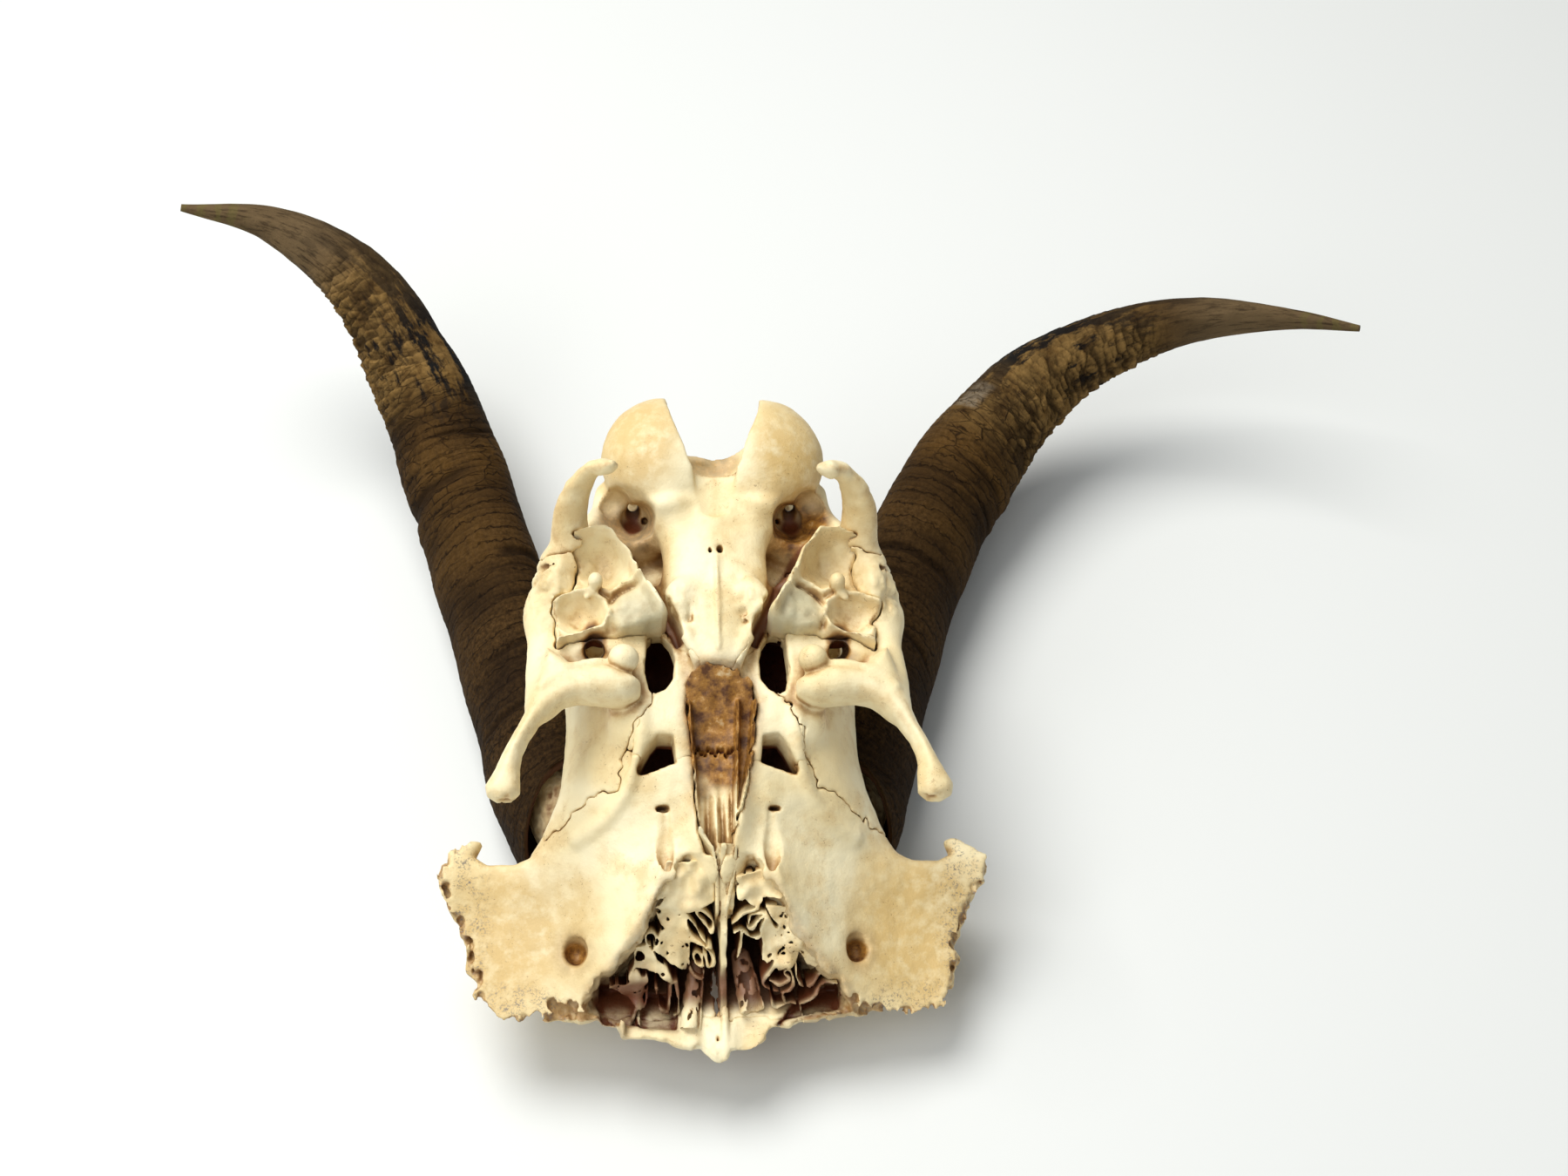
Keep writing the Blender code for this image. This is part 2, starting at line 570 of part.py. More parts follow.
def broken_rims(clay):
    """Trims each orbit roof to its own outline, below the level of the braincase's base."""
    cut, (x, y, z) = clay.window((-80, -150, -70), (80, -80, -18))
    side = np.abs(x[:, :, 0])
    right = inside_outline(side, y[:, :, 0], np.array(RIM_RIGHT, float))
    left = inside_outline(side, y[:, :, 0], np.array(RIM_LEFT, float))
    edge = np.where(x[:, :, 0] > 0, right, left)[:, :, None]
    clay.d[cut] = smooth_max(clay.d[cut], edge + 0 * z, 0.8)


def horn_cores(clay):
    """The bone core inside the first stretch of each horn."""
    clay.add(limb(((27, -79, -48), (34.5, -72, -54.0), (39.5, -60.5, -58), (43.0, -48.0, -61)),
                  (12.0, 15.0, 13.5, 9.0), 0.62, (1.0, 0.15, -0.3)), 3.0)


TROUGH_OUTLINE = (
    (-7.5, -58.8), (-7.7, -61.4), (-6.9, -66), (-6.2, -73.9), (-5.5, -82.2), (-4.9, -89.4), (-3.2, -94),
    (2.6, -94), (3.7, -88.9), (4.8, -85.1), (6.9, -77.3), (8.1, -70.6), (9.2, -61.4), (9.3, -58), (7, -53.6),
    (3.3, -50.8), (-0.4, -48.9), (-3.6, -50), (-6.3, -52.3),
)
LEFT_WALL = ((-6.6, -60), (-6.0, -66), (-5.3, -73.9), (-4.6, -82.2), (-4.0, -89))
RIGHT_WALL = ((8.2, -60), (7.3, -70.6), (6.1, -77.3), (4.2, -85.1), (3.2, -91))
SEPTUM_OUTLINE = ((-0.4, -92), (2.2, -92), (2.2, -136), (-0.4, -136))


def trough_floor(x, y):
    """Height of the trough's floor, deeper towards the front."""
    heights = (2.2, 0.6, -2.2, -5.0, -7.2, -9.0, -10.6, -12.4, -14.6)
    return through(y, (-46, -50, -54, -58, -62, -70, -80, -90, -96), heights) + 0 * x


def trough_height(x, y):
    """The floor with a wall raised along each side."""
    rise = through(y, (-56, -60, -70, -80, -90, -96), (0.4, 4.6, 5.2, 4.8, 3.6, 2.0))
    left = np.exp(-(from_curve(x, y, LEFT_WALL) / 0.9) ** 2)
    right = np.exp(-(from_curve(x, y, RIGHT_WALL) / 0.9) ** 2)
    return trough_floor(x, y) + rise * (left + right)


def fused_bone():
    """The skull in one piece, thinned: half of it is modelled, mirrored, then trimmed side by side."""
    clay = Clay(FIELD_LOW, FIELD_HIGH, FIELD_STEP)
    braincase(clay)
    frontal_bones(clay)
    skull_base(clay)
    ear_region(clay)
    jaw_joint(clay)
    condyles(clay)
    jugular_process(clay)
    great_foramen(clay)
    base_holes(clay)
    horn_cores(clay)
    whole = clay.mirrored()
    whole.cut(sheet(TROUGH_OUTLINE, lambda x, y: trough_floor(x, y) - 1, level(10), 0.5), 1.4)
    broken_rims(whole)
    skull = whole.mesh("skull")
    thin_to(skull, BONE_TRIANGLES)
    return keep_largest(skull)


TYMPANIC_OUTLINE = (
    (35.0, -17.2), (30, -15.2), (25.4, -15.4), (21.0, -21), (19.0, -27), (15.6, -32.5), (12.2, -38.8),
    (12.2, -42.0), (18.6, -42.8), (26, -42.4), (33, -42.6), (38.4, -44.8), (39.0, -41.4), (38.6, -38),
    (40.4, -33.6), (35.6, -31.4), (33.6, -28), (34.0, -22), (35.6, -19),
)
CREST = ((34.2, -17.8), (30.0, -16.8), (26.2, -17.2), (22.2, -22.0), (20.0, -27.6), (16.8, -33.4), (13.6, -39.6))
CROSS_RIDGE = ((30.6, -30.2), (28.2, -30.4), (25.8, -31.6), (23.2, -29.6), (20.6, -29.2))
FUNNEL_RIM = (
    (39.0, -34.2), (35.4, -32.4), (31.0, -32.2), (27.6, -34.2), (26.8, -38.0), (27.8, -40.4), (32.0, -41.6),
    (37.6, -43.6),
)


def drum_height(x, y):
    """Height of the ear drum bone: crest, hollow, cross ridge, bulla and the funnel of the ear passage."""
    h = -1.6 + 4.8 * np.exp(-(from_curve(x, y, CREST) / 1.4) ** 2)
    h = h + 2.4 * np.exp(-(from_curve(x, y, CROSS_RIDGE) / 1.2) ** 2)
    h = h - 4.6 * np.exp(-(((x - 27.2) / 6.0) ** 2 + ((y + 23.3) / 5.6) ** 2) ** 1.5)
    h = h + 4.4 * np.sqrt(np.clip(1 - ((x - 19.0) / 7.2) ** 2 - ((y + 37.2) / 6.4) ** 2, 0, 1))
    h = h + 2.4 * np.exp(-(from_curve(x, y, FUNNEL_RIM) / 1.2) ** 2)
    return h + 0.6 - 4.0 * np.clip(1 - ((x - 33.2) / 6.4) ** 2 - ((y + 37.4) / 4.8) ** 2, 0, 1)


def tympanic_bone():
    """The flattened ear drum bone, under the heights of its crests and hollows."""
    clay = Clay((6, -50, -16), (46, -10, 12), FINE_STEP)
    clay.add(sheet(TYMPANIC_OUTLINE, level(-9), drum_height, 1.2), 0.1)
    clay.add(ball((29.4, -29.8, 2.2), (2.0, 2.2, 2.6)), 1.0)
    return clay


ETHMOID_OUTLINE = (
    (2.8, -92.5), (6.5, -91.5), (10.8, -96.5), (15.8, -105), (21.8, -114), (29, -120.5), (22, -122), (11, -120.5),
    (2.8, -121.5),
)

# Middle and half size of each open cell of the sieve bone
ETHMOID_CELLS = (
    (5.4, -108, 1.7, 3.2), (5.8, -116.5, 1.9, 3.4), (10.6, -108.5, 1.8, 2.4), (10.9, -115.5, 2.0, 2.8),
    (15.8, -112.0, 1.7, 2.2), (16.4, -118.0, 2.0, 2.0), (22.2, -118.2, 2.2, 1.6),
)
CELL_HALF_DEPTH = 16
FLOOR_THICKNESS = 3.9


def above_forehead(x, y):
    """Where the bones inside the nose stand on the roof of the skull."""
    return forehead(x, y) + FLOOR_THICKNESS


def sieve_top(x, y):
    """The broken face of the sieve bone, sloping down to the front."""
    return through(y, (-88, -97, -105, -113, -124), (-11, -13, -16, -22, -33)) + 0 * x


def septum_top(x, y):
    """The broken edge of the plate between the two halves of the nose."""
    return through(y, (-92, -100, -108, -118, -137), (-10, -12, -16, -23, -33)) + 0 * x


def ethmoid_bone():
    """The broken sieve bone: a lump of thin-walled cells between the septum and the orbit wall."""
    clay = Clay((-1, -130, -56), (36, -86, -4), FINE_STEP)
    clay.add(sheet(ETHMOID_OUTLINE, above_forehead, sieve_top, 1.0), 0.1)
    for x, y, half_x, half_y in ETHMOID_CELLS:
        clay.cut(ball((x, y, -27), (half_x, half_y, CELL_HALF_DEPTH), (14, 0, 0)), 0.6)
    return clay


def vomer_bone():
    """The ploughshare bone's open trough and, in front, the thin upright plate down the middle."""
    clay = Clay((-12, -141, -62), (12.8, -46, 8), FINE_STEP)
    clay.add(sheet(TROUGH_OUTLINE, lambda x, y: trough_floor(x, y) - 4, trough_height, 0.6), 0.1)
    clay.add(sheet(SEPTUM_OUTLINE, above_forehead, septum_top, 0.3), 0.6)
    return clay


def turbinate():
    """A thin tube of rolled bone, open in front."""
    clay = Clay((0, -136, -44), (16, -108, -14), FINE_STEP)
    clay.add(limb([(5.9, -118, -24.6), (6.7, -123, -27.4), (7.8, -128, -30.6)], (2.5, 2.9, 3.3), 0.9), 0.1)
    clay.cut(limb([(6.1, -120, -24.8), (7.0, -125, -28.0), (8.6, -133, -33.2)], (1.0, 1.4, 2.2), 0.9), 0.3)
    return clay


def pair(name, clay, triangles):
    """The right-hand bone from its field, and the left-hand one as its mirror image."""
    right = clay.mesh(name + "_R")
    thin_to(right, triangles)
    right = keep_largest(right)
    points = np.array([v.co[:] for v in right.data.vertices]) / MM * (-1, 1, 1)
    faces = [list(face.vertices)[::-1] for face in right.data.polygons]
    return [right, mesh_object(name + "_L", points, faces)]


# A corner is moved out at most this many times the distance that its faces move
MOST_CORNER_SHIFT = 2.0


def grown(obj, by, name):
    """A copy whose faces stand out by a distance."""
    edit = bmesh.new()
    edit.from_mesh(obj.data)
    edit.normal_update()
    moved = [vert.normal * by * MM * min(vert.calc_shell_factor(), MOST_CORNER_SHIFT) for vert in edit.verts]
    for vert, move in zip(edit.verts, moved):
        vert.co += move
    mesh = bpy.data.meshes.new(name)
    edit.to_mesh(mesh)
    edit.free()
    copy = bpy.data.objects.new(name, mesh)
    bpy.context.scene.collection.objects.link(copy)
    return copy


def clear_of(obj, piece):
    """Cuts the room for a piece, and the gap round it, out of the object."""
    cutter = grown(piece, CLEARANCE, "cutter")
    boolean(obj, cutter, "DIFFERENCE")
    bpy.data.objects.remove(cutter)
    return keep_largest(obj)


def region(levels):
    """A closed block through outlines at rising heights, each with the same number of corners."""
    corners = len(levels[0][1])
    points = [(x, y, z) for z, outline in levels for x, y in outline]
    faces = []
    for i in range(len(levels) - 1):
        for j in range(corners):
            k = (j + 1) % corners
            faces.append([i * corners + j, i * corners + k, (i + 1) * corners + k, (i + 1) * corners + j])
    faces.append(list(range(corners))[::-1])
    faces.append([(len(levels) - 1) * corners + j for j in range(corners)])
    block = mesh_object("region", points, faces)
    outward(block)
    return block


def part_off(skull, name, levels):
    """Cuts one bone out of the skull along the faces of a region, and leaves the gap of its suture."""
    block = region(levels)
    bone = bpy.data.objects.new(name, skull.data.copy())
    bpy.context.scene.collection.objects.link(bone)
    boolean(bone, block, "INTERSECT")
    cutter = grown(block, GAP, "cutter")
    boolean(skull, cutter, "DIFFERENCE")
    bpy.data.objects.remove(block)
    bpy.data.objects.remove(cutter)
    return keep_largest(skull), keep_largest(bone)


def mirror_levels(levels):
    """The same region on the other side."""
    return [(z, [(-x, y) for x, y in outline][::-1]) for z, outline in levels]


def symmetric(outline):
    """An outline given from the middle out to the right, completed by its mirror image."""
    return [(-x, y) for x, y in outline[::-1]] + list(outline)


# Outlines along which the bones part, in the base and, where it differs, in the roof
DEEP = -90
HIGH = 40
WIDE = 80
NAPE_SUTURE = (
    (2.5, -52), (5, -49), (10, -43.5), (14.2, -36), (17, -28), (19.5, -19.5), (30, -19), (36.5, -21.5),
    (WIDE, -19), (WIDE, 60),
)
NAPE_ROOF = (
    (2.5, -17), (5, -17), (10, -17), (14.2, -16.5), (17, -16), (19.5, -15), (30, -14), (36.5, -13), (WIDE, -8),
    (WIDE, 60),
)
BASE_SUTURE = (
    (9, -30), (15.5, -34), (17.6, -45), (17.2, -56), (20, -66), (22.5, -71.6), (17.4, -72.2), (6, -72.2),
)
EAR_INNER = (
    (41, -84), (34, -80.5), (28.5, -77.4), (24.5, -76.8), (21.2, -71.4), (20.4, -66), (17.8, -61), (14.4, -55.6),
    (17.2, -50),
)
EAR_SUTURE = ((12, -15), (WIDE, -15), (WIDE, -88), (50, -87.5)) + EAR_INNER
EAR_WALL = ((12, -15), (WIDE, -15), (WIDE, -64), (54, -66)) + EAR_INNER
FACE_SUTURE = (
    (0.0, -68), (24, -68), (28, -74), (38, -78.6), (41, -79), (WIDE, -76), (WIDE, -150), (0.0, -150),
)
FACE_ROOF = (
    (0.0, -44), (22, -45), (28, -46), (33, -47), (35, -34), (WIDE, -34), (WIDE, -150), (0.0, -150),
)
NOSE_SUTURE = ((26, -127.0), (26, -150), (-26, -150), (-26, -127.0))


def part_bones(skull):
    """Parts the fused skull into its named bones; what is left is the parietal."""
    ear = [(-34, EAR_WALL), (-8.2, EAR_WALL), (-8.0, EAR_SUTURE), (HIGH, EAR_SUTURE)]
    face = [(DEEP, FACE_ROOF), (-52, FACE_ROOF), (-30, FACE_SUTURE), (HIGH, FACE_SUTURE)]
    cuts = (
        ("occipital", [(DEEP, symmetric(NAPE_ROOF)), (-45, symmetric(NAPE_ROOF)), (-14, symmetric(NAPE_SUTURE)),
                       (HIGH, symmetric(NAPE_SUTURE))]),
        ("temporal_R", ear),
        ("temporal_L", mirror_levels(ear)),
        ("nasal", [(DEEP, NOSE_SUTURE), (HIGH, NOSE_SUTURE)]),
        ("sphenoid", [(-25, symmetric(BASE_SUTURE)), (HIGH, symmetric(BASE_SUTURE))]),
        ("frontal_R", face),
        ("frontal_L", mirror_levels(face)),
    )
    bones = []
    for name, levels in cuts:
        skull, bone = part_off(skull, name, levels)
        bones.append(bone)
    skull.name = "parietal"
    return bones + [skull]


def horn(name, points, half_widths):
    """A horn sheath: oval sections along its path, with an open socket for the core at its base."""
    path = curve_through(points, HORN_RINGS)
    along = np.linspace(0, 1, HORN_RINGS)
    wide = through(along, HORN_STATIONS, half_widths)
    deep = through(along, HORN_STATIONS, HORN_HALF_DEPTHS)
    rings = horn_rings(path, wide, deep)[HORN_BASE_RING:]
    path = path[HORN_BASE_RING:]
    shrink = np.linspace(SOCKET_RIM, SOCKET_FLOOR, SOCKET_RINGS)[:, None, None]
    middle = path[:SOCKET_RINGS, None]
    inner = middle + (rings[:SOCKET_RINGS] - middle) * shrink
    stack = np.concatenate([inner[::-1], rings])
    ends = [path[SOCKET_RINGS - 1], path[-1]]
    n = HORN_SIDES
    faces = []
    for i in range(len(stack) - 1):
        for j in range(n):
            k = (j + 1) % n
            faces.append([i * n + j, i * n + k, (i + 1) * n + k, (i + 1) * n + j])
    first = len(stack) * n
    last = first - n
    for j in range(n):
        faces.append([first, (j + 1) % n, j])
        faces.append([first + 1, last + j, last + (j + 1) % n])
    obj = mesh_object(name, np.concatenate([stack.reshape(-1, 3), ends]), faces)
    outward(obj)
    return obj


def horn_rings(path, wide, deep):
    """Oval sections square to the path, the long way along the skull's length at the base."""
    tangent = np.gradient(path, axis=0)
    tangent /= np.linalg.norm(tangent, axis=1, keepdims=True)
    side = np.array([1.0, 0.0, 0.0])
    angle = np.linspace(0, 2 * np.pi, HORN_SIDES, endpoint=False)
    rings = []
    for p, t, w, d in zip(path, tangent, wide, deep):
        side = side - t * (side @ t)
        side /= np.linalg.norm(side)
        up = np.cross(side, t)
        rings.append(p + np.outer(np.cos(angle) * w, side) + np.outer(np.sin(angle) * d, up))
    return np.array(rings)


def outward(obj):
    """Turns every face outwards."""
    edit = bmesh.new()
    edit.from_mesh(obj.data)
    bmesh.ops.triangulate(edit, faces=edit.faces)
    bmesh.ops.recalc_face_normals(edit, faces=edit.faces)
    edit.to_mesh(obj.data)
    edit.free()


# Colour, roughness of each finish
FINISHES = {
    "bone": ((0.86, 0.78, 0.60), 0.55),
    "pale_bone": ((0.88, 0.84, 0.73), 0.6),
    "stained_bone": ((0.45, 0.26, 0.12), 0.7),
    "horn": ((0.13, 0.085, 0.055), 0.6),
}
STAINED = ("vomer",)
PALE = ("ethmoid_L", "ethmoid_R", "turbinate_L", "turbinate_R")


def finish(obj):
    """Gives the piece the plain colour of its bone or horn."""
    kind = "bone"
    if obj.name.startswith("horn"):
        kind = "horn"
    if obj.name in STAINED:
        kind = "stained_bone"
    if obj.name in PALE:
        kind = "pale_bone"
    colour, roughness = FINISHES[kind]
    material = bpy.data.materials.new(obj.name)
    material.use_nodes = True
    shader = material.node_tree.nodes["Principled BSDF"]
    shader.inputs["Base Color"].default_value = (*colour, 1)
    shader.inputs["Roughness"].default_value = roughness
    material.diffuse_color = (*colour, 1)
    obj.data.materials.clear()
    obj.data.materials.append(material)


def lay_down(pieces):
    """Parents every piece to one empty that turns the skull as it lies, middle of its box over the origin."""
    rest = bpy.data.objects.new("rest", None)
    bpy.context.scene.collection.objects.link(rest)
    turn = (
        Matrix.Rotation(math.radians(REST_TURN), 4, "Z")
        @ Matrix.Rotation(math.radians(REST_PITCH), 4, "X")
        @ Matrix.Rotation(math.radians(REST_ROLL), 4, "Y")
    )
    points = np.concatenate([np.array([v.co[:] for v in piece.data.vertices]) for piece in pieces])
    points = points @ np.array(turn.to_3x3()).T
    low, high = points.min(0), points.max(0)
    middle = (low + high) / 2
    rest.matrix_world = Matrix.Translation(Vector((-middle[0], -middle[1], -low[2]))) @ turn
    for piece in pieces:
        piece.parent = rest


def clear_scene():
    """Takes away whatever the scene starts with."""
    for obj in list(bpy.data.objects):
        bpy.data.objects.remove(obj)


def main():
    """Builds the skull whole, makes room for the small bones and horns, parts it and lays it down."""
    clear_scene()
    skull = fused_bone()
    vomer = vomer_bone().mesh("vomer")
    thin_to(vomer, VOMER_TRIANGLES)
    vomer = keep_largest(vomer)
    rolls = pair("turbinate", turbinate(), TURBINATE_TRIANGLES)
    sieves = pair("ethmoid", ethmoid_bone(), ETHMOID_TRIANGLES)
    drums = pair("tympanic", tympanic_bone(), TYMPANIC_TRIANGLES)
    left = horn("horn_sheath_L", LEFT_HORN, LEFT_HALF_WIDTHS)
    right = horn("horn_sheath_R", RIGHT_HORN, RIGHT_HALF_WIDTHS)
    horns = [left, right]
    for piece in [vomer] + rolls + sieves + drums + horns:
        skull = clear_of(skull, piece)
    sieves = [clear_of(clear_of(sieve, roll), vomer) for sieve, roll in zip(sieves, rolls)]
    small = [vomer] + rolls + sieves + drums
    bones = part_bones(skull)
    pieces = bones + small + horns
    for piece in pieces:
        finish(piece)
    lay_down(pieces)


main()
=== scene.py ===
"""The looks of a billy goat's skull, without its face, lying on its forehead and horns.

Sizes are millimetres in the skull's own frame: x to its right, y towards the nape, z towards the
underside, with the origin on the front lip of the great foramen. TURN and PLACE turn and move them
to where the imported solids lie. Horn sheaths are surfaces of two parameters. Bone branches, fuses and
is full of holes, which such a surface can't follow, so it is worked out as one distance field on a
grid of samples, which is parted at the sutures and meshed where it is zero.
"""

from functools import cache
import math

import bpy
import numpy as np
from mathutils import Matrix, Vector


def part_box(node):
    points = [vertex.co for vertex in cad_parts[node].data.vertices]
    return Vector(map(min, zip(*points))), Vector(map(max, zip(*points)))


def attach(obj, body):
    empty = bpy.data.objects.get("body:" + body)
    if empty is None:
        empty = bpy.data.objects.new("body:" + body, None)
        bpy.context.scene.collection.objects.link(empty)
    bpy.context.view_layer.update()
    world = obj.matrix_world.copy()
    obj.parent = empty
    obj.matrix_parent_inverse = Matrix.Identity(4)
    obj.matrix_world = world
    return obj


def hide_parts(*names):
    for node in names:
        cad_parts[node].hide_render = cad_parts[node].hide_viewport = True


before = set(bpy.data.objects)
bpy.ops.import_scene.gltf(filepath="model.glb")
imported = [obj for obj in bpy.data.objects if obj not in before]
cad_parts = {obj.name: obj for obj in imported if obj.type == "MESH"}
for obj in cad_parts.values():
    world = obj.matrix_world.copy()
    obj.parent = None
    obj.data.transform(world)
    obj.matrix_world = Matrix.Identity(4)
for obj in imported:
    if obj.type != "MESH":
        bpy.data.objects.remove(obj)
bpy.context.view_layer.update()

import openvdb
from bpy.props import FloatProperty, FloatVectorProperty, IntProperty, PointerProperty
from bpy.types import Operator, Panel, PropertyGroup
from mathutils import Matrix, Vector

bl_info = {
    "name": "Goat skull",
    "version": (1, 0, 0),
    "blender": (4, 5, 0),
    "location": "3D View > Sidebar > Skull",
    "description": "Builds a billy goat's skull with its horns, and a table to show it on",
    "category": "Object",
}

MM = 0.001
BODY = "root"
SEED = 7
SHARP_ANGLE = 55

# How the skull lies, in degrees: nape raised, its right side lowered, turned on the table
REST_PITCH = 15.0
REST_ROLL = 4.0
REST_TURN = 2.0

# Sampling, and the block of samples for one half of the skull. Thin bones take finer samples, by these shares
FAR = 60.0
MOST_TRIANGLES = 196000
PLATE_SHARE = 0.7
SCROLL_SHARE = 0.8
FIELD_LOW = (0.0, -143.0, -78.0)
FIELD_HIGH = (73.0, 25.0, 27.0)

# Overall landmarks
BRAINCASE_HALF_WIDTH = 38.0
SNOUT_TIP = (1.0, -139.0)
FORAMEN_CENTRE_Z = -9.5
FORAMEN_DEPTH = 30.0

# Gaps, below zero where bones overlap out of sight, and the height above which the ear drum bone lies open
TROUGH_GAP = -0.1
DRUM_GAP = 0.2
DRUM_OPEN_FROM = -6.5
SIEVE_GAP = 0.05
HIDDEN = -0.34

# Horns: the paths of the solids, and the half sizes of their sections along them
CAD_HORN_SIDES = 16
CAD_HORN_RINGS = 28
HORN_BASE_RING = 2
LEFT_HORN = (
    (-28.5, -78.0, -44.5), (-36.0, -72.0, -53.8), (-41.2, -60.0, -59.4), (-46.3, -41.0, -65.2),
    (-51.5, -21.0, -71.2), (-57.0, -0.6, -76.4), (-68.6, 38.8, -81.0), (-82.3, 74.3, -76.0),
    (-101.8, 103.1, -66.5), (-124.0, 114.4, -59.8), (-148.6, 115.0, -53.1),
)
RIGHT_HORN = (
    (28.5, -78.0, -44.0), (34.5, -72.0, -50.0), (38.2, -61.0, -53.2), (43.2, -41.0, -58.0),
    (49.4, -20.2, -63.4), (57.0, 1.3, -68.4), (66.0, 22.0, -71.6), (77.0, 41.0, -72.4),
    (104.3, 71.1, -68.2), (138.3, 82.9, -57.7), (172.9, 77.8, -45.9), (188.9, 71.1, -39.6),
)
HORN_STATIONS = (0, 0.15, 0.3, 0.46, 0.54, 0.62, 0.69, 0.77, 0.85, 0.92, 0.97, 1)
LEFT_HALF_WIDTHS = (14.2, 13.8, 13.8, 14.1, 14.2, 13.6, 12.6, 11.1, 8.7, 5.0, 2.4, 1.3)
RIGHT_HALF_WIDTHS = (14.8, 14.8, 14.8, 14.9, 14.3, 11.9, 9.4, 7.3, 4.9, 2.8, 1.8, 1.1)
HORN_HALF_DEPTHS = (21.0, 20.2, 19.4, 18.8, 17.4, 15.2, 12.6, 10.0, 7.2, 4.2, 2.4, 1.3)

# Share of the length where each sheath's mouth shows, nearer the skull than its solid starts
MOUTH_SHARE = {"L": 0.045, "R": 0.03}
MOUTH_RINGS = 14
PATH_POINTS = 400


# What a user would change

def linear(hex_colour):
    """An sRGB hex colour as the linear values that shaders take."""
    parts = [int(hex_colour[i:i + 2], 16) / 255 for i in (1, 3, 5)]
    return tuple(p / 12.92 if p <= 0.04045 else ((p + 0.055) / 1.055) ** 2.4 for p in parts) + (1.0,)


def colour(name, description, hex_colour):
    """A colour property, given as an sRGB hex value."""
    return FloatVectorProperty(name=name, description=description, default=linear(hex_colour), size=4,
                               min=0, max=1, subtype="COLOR")


class SkullSizes(PropertyGroup):
    """How finely the skull is worked out, and its smallest gaps."""

    sample: FloatProperty(
        name="Sample distance", description="Distance between samples of the bone, in millimetres",
        default=0.5, min=0.35, max=2.0,
    )
    suture: FloatProperty(
        name="Suture", description="Gap between two bones of the skull, in millimetres",
        default=0.16, min=0.05, max=0.5,
    )
    weathering: FloatProperty(
        name="Weathering", description="Height of the soft unevenness of the bone, as a share",
        default=1.0, min=0.0, max=3.0, subtype="FACTOR",
    )
    horn_rings: IntProperty(
        name="Horn rings", description="Rings of points along each horn", default=680, min=100, max=1000,
    )
    horn_sides: IntProperty(
        name="Horn sides", description="Points round each horn", default=144, min=24, max=200,
    )


class BoneFinish(PropertyGroup):
    """Colours of the dry bone and of what stained it."""

    ivory: colour("Ivory", "Clean dry bone", "#f7ebc4")
    deep_ivory: colour("Deep ivory", "Dry bone in its deeper patches", "#efdcaa")
    grease: colour("Grease", "Bone that kept its grease", "#d5b678")
    # Tan, soil and deep soil also serve as painted shade, darkening the bone where other bone stands over it
    tan: colour("Tan", "Mottling, and the first soil where bone is sheltered", "#d9bb84")
    soil: colour("Soil", "Soil in hollows and cracks", "#9c713c")
    deep_shade_and_soil: colour("Deep soil", "Soil in the deepest cracks", "#3d2413")
    pore: colour("Pore", "Small pores", "#6e4a28")
    hairline: colour("Hairline", "Fine cracks and marks of vessels", "#8a6437")
    rim: colour("Rim speckle", "Grey speckle of the spongy rims", "#7e766b")
    stain: colour("Stain", "Old damp stain", "#b07d36")
    deep_stain: colour("Deep stain", "Old damp stain at its darkest", "#5a3414")
    sinus: colour("Sinus", "Lining of the opened sinuses", "#5a2c10")
    drum: colour("Drum", "Thin bone of the ear drum bone", "#aeae93")
    # Painted shade for the hollows behind the holes
    hollow_shade: colour("Lining", "Lining of the hollows behind the holes", "#703a1e")


class HornFinish(PropertyGroup):
    """Colours of the weathered horn."""

    base: colour("Base", "Horn near the skull", "#150d06")
    middle: colour("Middle", "Horn halfway", "#4e3718")
    band: colour("Band", "Broad dark bands", "#2a1d0f")
    dust: colour("Dust", "Dry dust on the horn", "#6e5230")
    flake: colour("Flake", "Flaked plates", "#85683c")
    tip: colour("Tip", "Horn near the tip", "#7a6548")
    fibre: colour("Fibre", "Dark fibres of the outer half", "#2e241a")
    crust: colour("Crust", "Black crust on the swelling side", "#1c1b1a")
    gold: colour("Green gold", "Faint bands near the tip", "#7c7440")
    scrape: colour("Scrape", "Pale scraped patch", "#93836c")
    # Also painted shade in the grooves of the horn
    dirt_and_groove_shade: colour("Dirt", "Dirt in grooves and cracks", "#1d140d")
    mouth: colour("Mouth", "Inner face of the sheath", "#4a3226")


class StageLook(PropertyGroup):
    """Board, lamps and room light."""

    board: colour("Board", "White board under the skull", "#dfe1df")
    board_cloud: colour("Board clouding", "Second shade of the board", "#e3e5e3")
    room: colour("Room", "Light from all round", "#f2f5f7")
    lamp_power: FloatProperty(
        name="Lamp", description="Power of the lamp behind on the left", default=15.5, min=0, unit="POWER",
    )
    window_power: FloatProperty(
        name="Window", description="Power of the window light in front on the left",
        default=6.0, min=0, unit="POWER",
    )
    room_strength: FloatProperty(
        name="Room strength", description="Strength of the light from all round", default=0.31, min=0,
    )


# Curves and noise

def through(t, knots, values):
    """A smooth curve through the values at the knots: cubic steps with central slopes."""
    knots = np.asarray(knots, float)
    values = np.asarray(values, float)
    if knots[0] > knots[-1]:
        knots = knots[::-1]
        values = values[::-1]
    slopes = np.gradient(values, knots, axis=0)
    i = np.clip(np.searchsorted(knots, t) - 1, 0, len(knots) - 2)
    span = knots[i + 1] - knots[i]
    u = np.clip((t - knots[i]) / span, 0, 1)
    if values.ndim > 1:
        u = u[..., None]
        span = span[..., None]
    h00 = (1 + 2 * u) * (1 - u) ** 2
    h10 = u * (1 - u) ** 2
    h01 = u * u * (3 - 2 * u)
    h11 = u * u * (u - 1)
    curve = h00 * values[i] + h10 * span * slopes[i] + h01 * values[i + 1] + h11 * span * slopes[i + 1]
    return curve.astype(np.float32) if isinstance(t, np.ndarray) and t.dtype == np.float32 else curve


